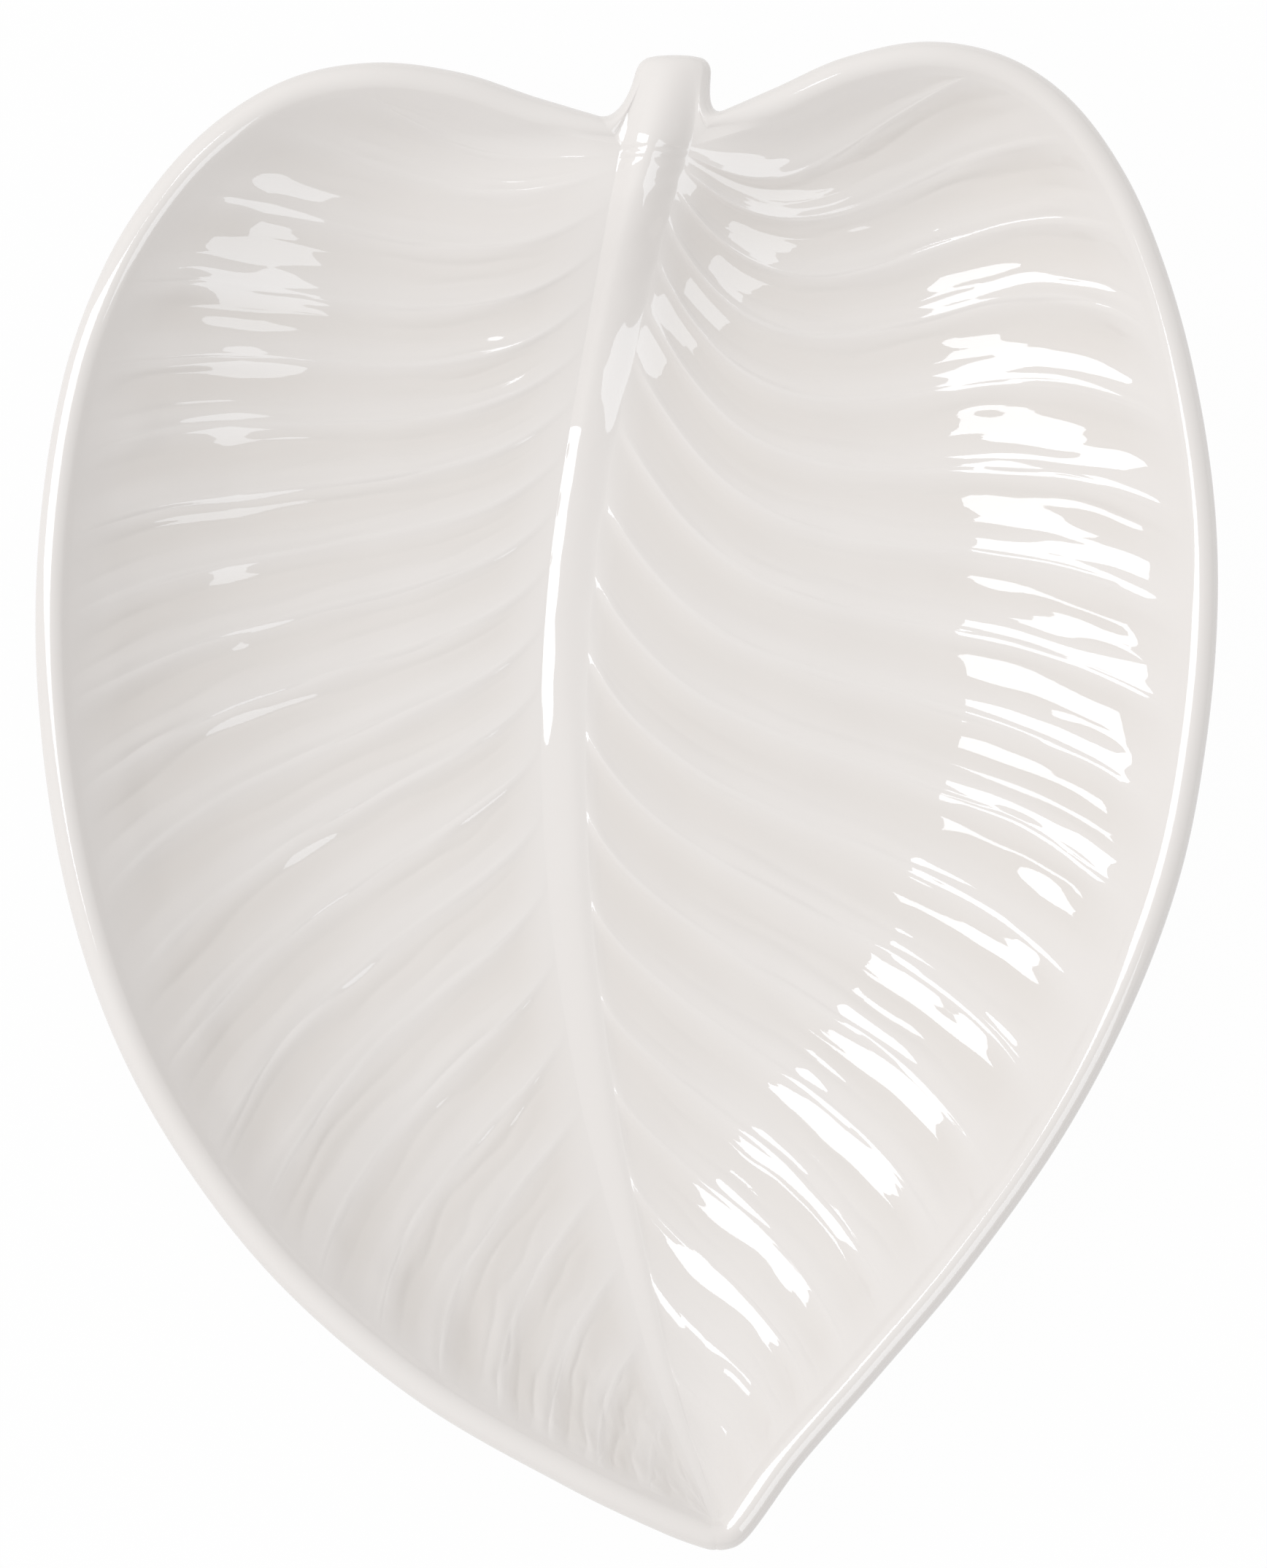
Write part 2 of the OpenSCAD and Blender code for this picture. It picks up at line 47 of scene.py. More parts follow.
# The leaf as a whole
leaf = {
    "length": 300 * mm,
    "width": 235 * mm,
    "rimHeight": 36 * mm,
    "lobeRise": 4 * mm,  # how much higher the two lobes beside the stem stand
    "lipWidth": 6.5 * mm,
    "lipRise": 2 * mm,  # crown of the lip over its inner edge
    "floorThickness": 5 * mm,
    "wallHeight": 8.2 * mm,  # upright thickness of the wall where the lip is rolled on
    "dishReach": 80 * mm,  # how far from the edge the dish begins to climb, and the underside
    "underReach": 50 * mm,
    "wallPower": 3,  # how late the dish gets steep, and the underside
    "underPower": 1.9,
    "swellHeight": 8 * mm,  # rise of the dish beside the upper midrib
    "swellStart": 3 * mm,  # where it begins, past the midrib's upper end
    "swellReach": 18 * mm,  # from there to its highest place
    "swellWidth": {left: 36 * mm, right: 17 * mm},
    "swellFadePower": 0.8,  # how the swell fades on the underside, towards the foot
    "edgeSamples": 320,
    "rootSamples": 14,
    "batch": 4000,  # places whose distance to the edge is worked out together
    # The edge from the stem to the tip: shares of the width and the length, share of the lobes' rise
    "edge": {
        left: [
            (-0.025, 0.453, -0.3), (-0.078, 0.465, 0), (-0.141, 0.48, 0.6), (-0.212, 0.486, 1),
            (-0.281, 0.477, 0.9), (-0.342, 0.451, 0.7), (-0.394, 0.412, 0.4), (-0.442, 0.354, 0.2),
            (-0.478, 0.277, 0), (-0.498, 0.171, 0), (-0.498, 0.064, 0), (-0.477, -0.052, 0),
            (-0.437, -0.153, 0), (-0.377, -0.24, 0), (-0.292, -0.324, 0), (-0.177, -0.4, -0.1),
            (-0.048, -0.458, -0.2), (0.033, -0.488, -0.35), (0.075, -0.5, -0.4),
        ],
        right: [
            (0.083, 0.457, -0.3), (0.125, 0.471, 0), (0.183, 0.49, 0.6), (0.254, 0.5, 1),
            (0.321, 0.49, 1), (0.376, 0.461, 0.9), (0.422, 0.412, 0.6), (0.454, 0.354, 0.4),
            (0.479, 0.284, 0.2), (0.496, 0.2, 0.1), (0.499, 0.122, 0), (0.489, 0.035, 0),
            (0.467, -0.052, 0), (0.426, -0.139, 0), (0.367, -0.226, 0), (0.288, -0.313, 0),
            (0.21, -0.385, -0.1), (0.145, -0.443, -0.2), (0.106, -0.485, -0.35), (0.093, -0.495, -0.4),
            (0.075, -0.5, -0.4),
        ],
    },
}

rib = {
    "width": 14 * mm,
    "height": 3.3 * mm,
    "topShare": 0.432,  # of the plate's length
    "tipShare": -0.477,
    # Share of the way, and where it is highest, from -1 at its left seam to 1 at its right seam
    "crest": [(0, -0.15), (0.2, -0.45), (0.34, -0.45), (0.45, 0.3)],
    # How its flanks run down: 0.5 is half an ellipse, 1 a parabola, more runs softly into the dish.
    # The left one gets steep below the stem: share of the way, and power.
    "leftFlank": [(0.1, 1.5), (0.25, 1.1), (0.34, 1.1), (0.45, 1.5)],
    "rightFlank": 1.6,
    "ripple": 0.16,  # how much the ends of the veins swell and pinch its flanks
    "columns": 12,  # faces from its seam to its middle
    "underColumns": 3,
    # From the stem to the tip: share of the way, share of the plate's width, share of its own width,
    # and share of its height
    "line": [
        (0, 0.024, 1, 1.15), (0.004, 0.0229, 0.99, 1.165), (0.01, 0.021, 0.98, 1.125),
        (0.016, 0.0193, 0.965, 1.05), (0.022, 0.0175, 0.95, 0.98), (0.075, 0.002, 0.84, 0.62),
        (0.187, -0.026, 0.71, 0.36), (0.301, -0.047, 0.66, 0.28), (0.426, -0.055, 0.65, 0.14),
        (0.559, -0.048, 0.6, 0.12), (0.692, -0.026, 0.52, 0.1), (0.798, 0.002, 0.38, 0.08),
        (0.904, 0.033, 0.25, 0.04), (1, 0.073, 0.08, 0),
    ],
}

veins = {
    "rowsPerVein": 46,
    "rowCrowding": 0.55,  # how much closer the rows stand at the crests
    "columns": 66,
    "crowding": 0.6,  # how much closer the columns stand at the midrib and at the lip
    "underEvery": 5,  # the underside has every fifth column
    "tipGap": 0.1,  # between the last two rows
    "firstVeins": {left: 4.5, right: 1.5},  # over how many veins the relief sets in below the stem
    "lastVeins": {left: 2, right: 8},  # and over how many it runs out at the tip
    # Number of the vein, share of the way down the midrib, share of the way round the lip, angles of
    # its start and its end towards the tip, and the pull of each as a share of its span
    "rows": {
        left: [
            (0, 0.007, 0.11, 2, -29, 0.42, 0.44), (1, 0.016, 0.162, 20, -16, 0.4, 0.4),
            (3, 0.069, 0.268, 40, 10, 0.38, 0.38), (6, 0.176, 0.394, 46, 28, 0.33, 0.4),
            (9, 0.297, 0.519, 55, 47, 0.26, 0.39), (12, 0.433, 0.657, 58, 64, 0.24, 0.43),
            (15, 0.59, 0.776, 61, 79, 0.28, 0.44), (18, 0.758, 0.881, 50, 91, 0.4, 0.38),
            (21, 0.927, 0.96, 48, 90, 0.38, 0.38), (22.3, 1, 1, 50, 88, 0.36, 0.38),
        ],
        right: [
            (0, 0.006, 0.129, 26, -19, 0.46, 0.41), (1, 0.016, 0.198, 38, 10, 0.5, 0.36),
            (3, 0.053, 0.309, 60, 40, 0.55, 0.42), (6, 0.148, 0.458, 62, 34, 0.53, 0.45),
            (9, 0.309, 0.61, 63, 49, 0.39, 0.4), (12, 0.485, 0.768, 61, 65, 0.32, 0.4),
            (15, 0.688, 0.884, 56, 74, 0.32, 0.38), (18, 0.892, 0.958, 58, 84, 0.33, 0.4),
            (20, 1, 1, 58, 86, 0.33, 0.4),
        ],
    },
}

footHeight = 5 * mm
floorZ = footHeight + leaf["floorThickness"]
straightEdgeSum = 3 * math.pi / 8  # of the pulls of a straight edge, one unit away


# Smooth curve through the rows of a table, whose first column is the place along it
def smoothCurve(table, where):
    table = np.asarray(table, float)
    where = np.atleast_1d(np.asarray(where, float))
    keys, last = table[:, 0], len(table) - 1
    i = np.clip(np.searchsorted(keys, where, side="right") - 1, 0, last - 1)
    here, there = table[i], table[i + 1]
    before, after = table[np.maximum(i - 1, 0)], table[np.minimum(i + 2, last)]
    step = (there[:, 0] - here[:, 0])[:, None]
    s = (where - keys[i])[:, None] / step
    leave = (there - before) * step / (there[:, 0] - before[:, 0])[:, None]
    arrive = (after - here) * step / (after[:, 0] - here[:, 0])[:, None]
    blend = here + (there - here) * s * s * (3 - 2 * s)
    return blend + leave * s * (1 - s) ** 2 - arrive * s * s * (1 - s)


def mixed(a, b, share):
    return a + (b - a) * share


def unit(vectors):
    return vectors / np.linalg.norm(vectors, axis=-1, keepdims=True)


def ribAt(way, across):
    here = smoothCurve(ribTable, way)
    y = mixed(rib["topShare"], rib["tipShare"], np.atleast_1d(way)) * leaf["length"]
    return np.column_stack([here[:, 1] + across * here[:, 2], y])


def makeEdgeTable(side):
    shares = np.array(leaf["edge"][side])
    places = shares[:, :2] * [leaf["width"], leaf["length"]]
    runs = np.concatenate([[0], np.cumsum(np.linalg.norm(np.diff(places, axis=0), axis=1))])
    return np.column_stack([runs / runs[-1], places, leaf["rimHeight"] + shares[:, 2] * leaf["lobeRise"]])


# The line where the lip meets the dish, one lip's width inside the edge
def makeLipTable(side):
    edge = edgeTables[side]
    last = len(edge) - 1
    order = np.arange(last + 1)
    run = edge[np.minimum(order + 1, last), 1:3] - edge[np.maximum(order - 1, 0), 1:3]
    inward = side * unit(np.column_stack([run[:, 1], -run[:, 0]]))
    places = edge[:, 1:3] + leaf["lipWidth"] * inward
    places[0], places[-1] = ribAt(0, side)[0], ribAt(1, side)[0]
    return np.column_stack([edge[:, 0], places])


ribTable = np.array(rib["line"]) * [1, leaf["width"], rib["width"] / 2, rib["height"]]
edgeTables = {side: makeEdgeTable(side) for side in (left, right)}
lipTables = {side: makeLipTable(side) for side in (left, right)}


def edgeAt(side, way):
    return smoothCurve(edgeTables[side], way)[:, 1:]


def lipAt(side, way):
    return smoothCurve(lipTables[side], way)[:, 1:]


def lastVein(side):
    return veins["rows"][side][-1][0]


# Draws values towards the whole numbers
def crowded(values, amount):
    return values - amount * np.sin(2 * math.pi * values) / (2 * math.pi)


def veinRows(side):
    count = veins["rowsPerVein"]
    even = np.arange(-count, math.ceil(lastVein(side) * count)) / count
    rows = crowded(even, veins["rowCrowding"])
    return np.append(rows[rows < lastVein(side) - veins["tipGap"]], lastVein(side))


def columnShares():
    return crowded(np.linspace(0, 1, veins["columns"]), veins["crowding"])


def heading(side, angle):
    angle = np.radians(angle)
    return np.column_stack([side * np.cos(angle), -np.sin(angle)])


# Veins are smooth curves that leave the midrib and arrive at the lip at their own angles. Above the
# first one the rows open out to the lip's own line.
def rowPoints(side, numbers, shares):
    rows = smoothCurve(veins["rows"][side], np.maximum(numbers, 0))
    root, end = ribAt(rows[:, 1], side), lipAt(side, rows[:, 2])
    span = np.linalg.norm(end - root, axis=1)[:, None]
    leave = root + rows[:, 5:6] * span * heading(side, rows[:, 3])
    arrive = end - rows[:, 6:7] * span * heading(side, rows[:, 4])
    t = np.asarray(shares, float)[None, :, None]
    u = 1 - t
    root, leave, arrive, end = (point[:, None, :] for point in (root, leave, arrive, end))
    curves = u ** 3 * root + 3 * u * u * t * leave + 3 * u * t * t * arrive + t ** 3 * end
    lipLine = lipAt(side, veins["rows"][side][0][2] * np.asarray(shares, float))[None, :, :]
    share = np.clip(numbers + 1, 0, 1)[:, None, None]
    return mixed(lipLine, curves, share)


def sampleEdge():
    places, lengths, heights = [], [], []
    for side in (left, right):
        count = leaf["edgeSamples"]
        middles = edgeAt(side, (np.arange(count) + 0.5) / count)
        ends = edgeAt(side, np.arange(count + 1) / count)
        places.append(middles[:, :2])
        lengths.append(np.linalg.norm(np.diff(ends[:, :2], axis=0), axis=1))
        heights.append(middles[:, 2])
    start, stop = edgeAt(left, 0)[0], edgeAt(right, 0)[0]
    count = leaf["rootSamples"]
    across = mixed(start, stop, ((np.arange(count) + 0.5) / count)[:, None])
    places.append(across[:, :2])
    lengths.append(np.full(count, np.linalg.norm(stop[:2] - start[:2]) / count))
    heights.append(across[:, 2])
    return np.concatenate(places), np.concatenate(lengths), np.concatenate(heights)


samplePlaces, sampleLengths, sampleHeights = sampleEdge()


# Smooth distance to the edge, and the height of the lip's crown there
def nearEdge(places):
    distance, height = np.empty(len(places)), np.empty(len(places))
    for start in range(0, len(places), leaf["batch"]):
        part = slice(start, start + leaf["batch"])
        gaps = ((places[part, None, :] - samplePlaces) ** 2).sum(axis=2)
        pulls = sampleLengths / gaps ** 3
        total = pulls.sum(axis=1)
        distance[part] = (straightEdgeSum / total) ** 0.2
        height[part] = pulls @ sampleHeights / total
    return distance, height


def swellAt(places):
    top, tip = rib["topShare"] * leaf["length"], rib["tipShare"] * leaf["length"]
    down = np.maximum(top + leaf["swellStart"] - places[:, 1], 0) / leaf["swellReach"]
    way = np.clip((top - places[:, 1]) / (top - tip), 0, 1)
    across = places[:, 0] - ribAt(way, 0)[:, 0]
    across = across / np.where(across < 0, leaf["swellWidth"][left], leaf["swellWidth"][right])
    return leaf["swellHeight"] * down * down * np.exp(2 - 2 * down) * np.exp(-across * across)


def topHeight(places):
    distance, rim = nearEdge(places)
    climb = np.maximum(leaf["dishReach"] - distance, 0) / (leaf["dishReach"] - leaf["lipWidth"])
    rise = rim - leaf["lipRise"] - floorZ
    return floorZ + rise * climb ** leaf["wallPower"] + swellAt(places)


def underHeight(places):
    distance, rim = nearEdge(places)
    climb = np.maximum(leaf["underReach"] - distance, 0) / (leaf["underReach"] - leaf["lipWidth"])
    rise = rim - leaf["lipRise"] - leaf["wallHeight"] - footHeight
    swell = swellAt(places) * np.minimum(climb, 1) ** leaf["swellFadePower"]
    return footHeight + rise * climb ** leaf["underPower"] + swell


# A line or grid of places in plan, set on the upper face or the underside
def standing(places, heightOf, extra=0):
    flat = places.reshape(-1, 2)
    points = np.column_stack([flat, heightOf(flat) + np.ravel(np.broadcast_to(extra, places.shape[:-1]))])
    return points.reshape(places.shape[:-1] + (3,))


def addObject(name, data):
    thing = bpy.data.objects.new(name, data)
    bpy.context.scene.collection.objects.link(thing)
    return thing


# Collects the points and faces of one closed piece. Faces of the skin are the ones that show.
class Piece:
    def __init__(self, side=left):
        self.points, self.faces, self.skin, self.count = [], [], [], 0
        self.flipped = side == right
        self.values = {}

    def add(self, points, **values):
        flat = points.reshape(-1, 3)
        self.points.append(flat)
        ids = np.arange(self.count, self.count + len(flat)).reshape(points.shape[:-1])
        for name, value in values.items():
            spread = np.ravel(np.broadcast_to(value, ids.shape))
            self.values.setdefault(name, []).append((ids.ravel(), spread))
        self.count += len(flat)
        return ids

    def quads(self, a, b, c, d, skin=True, turned=False):
        faces = np.column_stack([np.ravel(corner) for corner in (a, b, c, d)])
        if turned != self.flipped:
            faces = faces[:, ::-1]
        self.faces.extend(faces.tolist())
        self.skin.extend([skin] * len(faces))

    def grid(self, ids, skin=True, turned=False):
        self.quads(ids[:-1, :-1], ids[:-1, 1:], ids[1:, 1:], ids[1:, :-1], skin, turned)

    def wall(self, upper, lower, turned=False):
        self.quads(upper[:-1], upper[1:], lower[1:], lower[:-1], False, turned)

    def cap(self, loop, skin=False, turned=False):
        loop = [int(i) for i in loop]
        self.faces.append(loop[::-1] if turned != self.flipped else loop)
        self.skin.append(skin)

    # Triangles between two lines of points that are divided differently
    def zip(self, a, aWays, b, bWays, skin=True, turned=False):
        aMiddles = (aWays[:-1] + aWays[1:]) / 2
        bMiddles = (bWays[:-1] + bWays[1:]) / 2
        j = np.searchsorted(bMiddles, aMiddles, side="left")
        self.quads(a[:-1], a[1:], b[j], b[j], skin, turned)
        i = np.searchsorted(aMiddles, bMiddles, side="right")
        self.quads(b[1:], b[:-1], a[i], a[i], skin, turned)

    def finish(self, name):
        points = np.concatenate(self.points)
        keys = np.round(points / weldGap).astype(np.int64)
        _, first, same = np.unique(keys, axis=0, return_index=True, return_inverse=True)
        same = same.ravel()
        kept, skin = [], []
        for face, shows in zip(self.faces, self.skin):
            loop = []
            for corner in (int(same[i]) for i in face):
                if corner not in loop:
                    loop.append(corner)
            if len(loop) > 2:
                kept.append(loop)
                skin.append(shows)
        mesh = bpy.data.meshes.new(name)
        mesh.from_pydata(points[first].tolist(), [], kept)
        mesh.polygons.foreach_set("use_smooth", np.ones(len(kept), bool))
        mesh.attributes.new("skin", "BOOLEAN", "FACE").data.foreach_set("value", np.array(skin))
        for attribute, parts in self.values.items():
            whole = np.zeros(self.count)
            for ids, value in parts:
                whole[ids] = value
            mesh.attributes.new(attribute, "FLOAT", "POINT").data.foreach_set("value", whole[first])
        mesh.update()
        return addObject(name, mesh)


# Blades: the two halves of the dish, between the midrib and the lip
def makeBlade(side):
    numbers, shares = veinRows(side), columnShares()
    underShares = shares[::veins["underEvery"]]
    places = rowPoints(side, numbers, shares)
    first, last = numbers + 1, lastVein(side) - numbers
    fade = np.clip(np.minimum(first / veins["firstVeins"][side], last / veins["lastVeins"][side]), 0, 1)
    piece = Piece(side)
    top = piece.add(
        standing(places, topHeight),
        veinNumber=numbers[:, None], veinWay=shares[None, :], veinFade=fade[:, None],
    )
    lipEdge = piece.add(standing(places[0], underHeight))
    under = piece.add(standing(rowPoints(side, numbers, underShares), underHeight))
    piece.grid(top)
    piece.grid(under[1:], turned=True)
    piece.zip(lipEdge, shares, under[1], underShares, turned=True)
    piece.wall(top[:, 0], under[:, 0])
    piece.wall(top[:, -1], under[:, -1], turned=True)
    piece.wall(top[0], lipEdge, turned=True)
    return piece.finish(sideNames[side] + "Blade")


# Midrib: a low rib with one half on each side of its middle line
def ribWays(side, numbers):
    rows = veins["rows"][side]
    above = rows[0][1] * (numbers + 1)
    return np.where(numbers < 0, above, smoothCurve(rows, np.maximum(numbers, 0))[:, 1])


def ribColumns(count):
    return np.sin(np.linspace(1, 0.5 / count, count) * math.pi / 2)


# Height over the dish, with a flank on each side of the crest, swelling where the veins run in
def ribArch(side, numbers, ways, columns):
    crest = np.interp(ways, *np.array(rib["crest"]).T)[:, None]
    across = side * columns - crest
    onLeft = across < 0
    out = np.abs(across) / np.where(onLeft, 1 + crest, 1 - crest)
    power = np.where(onLeft, np.interp(ways, *np.array(rib["leftFlank"]).T)[:, None], rib["rightFlank"])
    profile = (1 - np.minimum(out, 1) ** 2) ** power
    ripple = 1 + rib["ripple"] * np.cos(2 * math.pi * numbers)[:, None] * out ** 2
    return smoothCurve(ribTable, ways)[:, 3:] * profile * ripple


# Points of one half, on its crown or on its underside
def ribGrid(side, numbers, onCrown):
    columns = ribColumns(rib["columns"] if onCrown else rib["underColumns"])
    ways = ribWays(side, numbers)
    grid = np.stack([ribAt(ways, side * c) for c in columns], axis=1)
    grid[:, 0] = rowPoints(side, numbers, [0])[:, 0]
    if onCrown:
        return standing(grid, topHeight, ribArch(side, numbers, ways, columns))
    return standing(grid, underHeight)


def makeMidrib():
    piece = Piece()
    tops, unders, ways = {}, {}, {}
    for side in (left, right):
        numbers = veinRows(side)
        ways[side] = ribWays(side, numbers)
        tops[side] = piece.add(ribGrid(side, numbers, True))
        unders[side] = piece.add(ribGrid(side, numbers, False))
        turned = side == left
        piece.grid(tops[side], turned=turned)
        piece.grid(unders[side], turned=not turned)
        piece.wall(tops[side][:, 0], unders[side][:, 0], turned=turned)
    piece.zip(tops[left][:, -1], ways[left], tops[right][:, -1], ways[right])
    piece.zip(unders[left][:, -1], ways[left], unders[right][:, -1], ways[right], turned=True)
    for row, turned in ((0, False), (-1, True)):
        loop = np.concatenate([
            tops[left][row], tops[right][row][::-1], unders[right][row], unders[left][row][::-1],
        ])
        piece.cap(loop, turned=turned)
    return piece.finish("middleRib")


# Rolled lip: a section that stands on the dish's outer seam and rolls over the edge
lip = {
    "rollFrom": 45,  # degrees round the roll, from the dish over the edge
    "rollTo": 225,
    "rollSteps": 18,
    "underSteps": 3,
    # Towards the tip the edge lags behind the seam, and the last sections fan out round the rib's end
    "lagFrom": 0.9,
    "tipEdgeWay": 0.995,  # how far the edge has come when the seam is at its end
    "tipSteps": 8,
    "tipPull": 0.7 * mm,  # rounds the tip
    "tipRound": 1.1 * mm,
}
lipAngles = np.linspace(lip["rollFrom"], lip["rollTo"], lip["rollSteps"] + 1)


def lipSections(inner, outer):
    run = outer[:, :2] - inner
    reach = np.linalg.norm(run, axis=1)
    out = run / reach[:, None]
    radius = np.minimum(reach, leaf["lipWidth"]) / 2
    angles = np.radians(lipAngles)
    along = (reach - radius)[:, None] - radius[:, None] * np.cos(angles)
    roll = np.concatenate([
        inner[:, None, :] + along[:, :, None] * out[:, None, :],
        (outer[:, 2:] - radius[:, None] + radius[:, None] * np.sin(angles))[:, :, None],
    ], axis=2)
    seam = np.column_stack([inner, topHeight(inner)])[:, None, :]
    foot = np.column_stack([inner, underHeight(inner)])[:, None, :]
    steps = (np.arange(lip["underSteps"]) + 1) / (lip["underSteps"] + 1)
    back = mixed(roll[:, -1:], foot, steps[None, :, None])
    return np.concatenate([seam, roll, back, foot], axis=1)


def makeLip(side):
    rows = veins["rows"][side]
    numbers = veinRows(side)
    along = smoothCurve(rows, numbers[numbers > 0])[:-1, 2]
    ways = np.concatenate([rows[0][2] * columnShares(), along, [1]])
    lag = np.clip((ways - lip["lagFrom"]) / (1 - lip["lagFrom"]), 0, 1) ** 2
    fan = np.linspace(0, 1, lip["tipSteps"] + 1)[1:]
    tipMiddle = (ribAt(1, left) + ribAt(1, right)) / 2
    inner = np.concatenate([lipAt(side, ways), mixed(lipAt(side, 1), tipMiddle, fan[:, None])])
    edgeWays = np.concatenate([ways - lag * (1 - lip["tipEdgeWay"]), mixed(lip["tipEdgeWay"], 1, fan)])
    outer = edgeAt(side, edgeWays)
    pull = lip["tipPull"] * np.exp(-np.linalg.norm(outer - outer[-1], axis=1) / lip["tipRound"])
    outer[:, :2] += pull[:, None] * unit(tipMiddle - outer[-1, :2])
    piece = Piece(side)
    ring = piece.add(lipSections(inner, outer))
    piece.grid(ring)
    piece.wall(ring[:, -1], ring[:, 0], turned=True)
    piece.cap(ring[0], turned=True)
    piece.cap(ring[-1])
    return piece.finish(sideNames[side] + "Lip")


# Stem: grows out of the first sections of both lips and of the midrib
stem = {
    "reach": 12 * mm,  # past the notch between the lobes
    "width": 15 * mm,
    "thickness": 9 * mm,
    "boxy": 0.7,  # 1 for an oval end, less for one with a flatter crown
    "rise": 1 * mm,
    "middleShare": 0.04,
    "leavePull": 14 * mm,  # how far the lips and the midrib run on before they turn into the stem
    "arrivePull": 13 * mm,
    "lookBack": 0.03,  # share of the way at which the lips' directions are taken
    "rowStep": 0.1,  # and share of a vein at which the midrib's are
    "rings": 34,
    "domeFrom": 0.76,  # share of its reach where it begins to close
    "faceShare": 0.55,  # flat of its end
    "capRings": 6,
    "capRise": 0.3 * mm,  # and how far that bulges
    # Angles reached on the stem's end from angles on the left lip's roll, and from across the midrib
    "rollAngles": [(45, 138), (90, 152), (135, 170), (180, 192), (225, 218)],
    "ribAngles": [(-1, 124), (-0.75, 111), (-0.35, 97), (0.35, 83), (0.75, 69), (1, 56)],
    "footAngle": 246,
}


# The directions in which the lips and the midrib run into the stem, blended between them
def stemLeaving(base, flankCount, runs):
    ribRun = unit(ribAt(0, 0)[0] - ribAt(stem["lookBack"], 0)[0])
    leaving = np.tile([*ribRun, 0], (len(base), 1))
    rightStart = flankCount + len(runs)
    leaving[flankCount:rightStart] = runs
    for side, first, ribEnd in ((left, 0, runs[0]), (right, rightStart, runs[-1])):
        spots = first + np.arange(flankCount)
        run = unit(edgeAt(side, 0)[0] - edgeAt(side, stem["lookBack"])[0])
        inner, outer = lipAt(side, 0)[0], edgeAt(side, 0)[0, :2]
        out = np.linalg.norm(base[spots, :2] - inner, axis=1) / np.linalg.norm(outer - inner)
        leaving[spots] = mixed(ribEnd, run, out[:, None])
    return stem["leavePull"] * unit(leaving)


# Where it starts: once round the ends of both lips and of the midrib, from the left lip's foot over the
# crown. The runs are the directions in which the midrib's crown climbs there.
def stemBase(ends):
    crown, runs, low = {}, {}, {}
    numbers = np.array([-1, -1 + stem["rowStep"]])
    for side in (left, right):
        crown[side], before = ribGrid(side, numbers, True)
        runs[side] = unit(crown[side] - before)
        low[side] = ribGrid(side, numbers, False)[0]
    base = np.concatenate([
        ends[left][1:][::-1], crown[left], crown[right][::-1],
        ends[right][1:], low[right][1:], low[left][1:][::-1],
    ])
    return base, np.concatenate([runs[left], runs[right][::-1]])


# Angles that those points reach on the stem's end: on a flank, over the crown, and all the way round
def stemAngles():
    rollKeys, rollEnds = np.array(stem["rollAngles"]).T
    ribKeys, ribEnds = np.array(stem["ribAngles"]).T
    roll = np.interp(lipAngles, rollKeys, rollEnds)
    steps = (np.arange(lip["underSteps"] + 1) + 1) / (lip["underSteps"] + 1)
    flank = np.concatenate([roll, mixed(rollEnds[-1], stem["footAngle"], steps)])
    across = ribColumns(rib["columns"])
    top = np.interp(np.concatenate([-across, across[::-1]]), ribKeys, ribEnds)
    across = ribColumns(rib["underColumns"])[1:]
    bottom = -90 + (stem["footAngle"] - 270) * np.concatenate([-across, across[::-1]])
    return flank, top, np.radians(np.concatenate([flank[::-1], top, 180 - flank, bottom]))


# For each ring: how far out it is, its share of the end's size, and how far the end bulges there
def stemRings():
    ways = np.linspace(0, 1, stem["rings"])[1:]
    dome = np.maximum(ways - stem["domeFrom"], 0) / (1 - stem["domeFrom"])
    shares = mixed(stem["faceShare"], 1, np.sqrt(1 - dome ** 2))
    inward = np.linspace(1, 0, stem["capRings"] + 1)[1:]
    return zip(
        np.concatenate([ways, np.ones(len(inward))]),
        np.concatenate([shares, stem["faceShare"] * inward]),
        np.concatenate([np.zeros(len(ways)), stem["capRise"] * (1 - inward ** 2)]),
    )


def makeStem():
    ends = {side: lipSections(lipAt(side, 0), edgeAt(side, 0))[0] for side in (left, right)}
    base, runs = stemBase(ends)
    flank, top, angles = stemAngles()
    notch = (ends[left][lip["rollSteps"] + 1] + ends[right][lip["rollSteps"] + 1]) / 2
    crownZ = (edgeAt(left, 0)[0, 2] + edgeAt(right, 0)[0, 2]) / 2
    endMiddle = np.array([
        stem["middleShare"] * leaf["width"], notch[1] + stem["reach"],
        crownZ + stem["rise"] - stem["thickness"] / 2,
    ])
    tall = np.sign(np.sin(angles)) * np.abs(np.sin(angles)) ** stem["boxy"]
    leaving = stemLeaving(base, len(flank), runs)
    arriving = np.array([0, stem["arrivePull"], 0])
    loops = [base]
    for way, share, out in stemRings():
        end = endMiddle + np.column_stack([
            share * stem["width"] / 2 * np.cos(angles),
            np.full(len(angles), out),
            share * stem["thickness"] / 2 * tall,
        ])
        early, late = way * (1 - way) ** 2, way * way * (1 - way)
        loops.append(mixed(base, end, way * way * (3 - 2 * way)) + early * leaving - late * arriving)
    piece = Piece()
    ids = piece.add(np.array(loops))
    piece.grid(np.column_stack([ids, ids[:, 0]]))
    # Its start is closed in three parts, against the two lips and the midrib
    seamLeft, seamRight = len(flank), len(flank) + len(top) - 1
    footRight = seamRight + len(flank)
    start = ids[0]
    piece.cap(start[:seamLeft + 1], turned=True)
    piece.cap(start[seamRight:footRight + 1], turned=True)
    piece.cap(np.concatenate([start[seamLeft:seamRight + 1], start[footRight:], start[:1]]), turned=True)
    return piece.finish("leafStem")


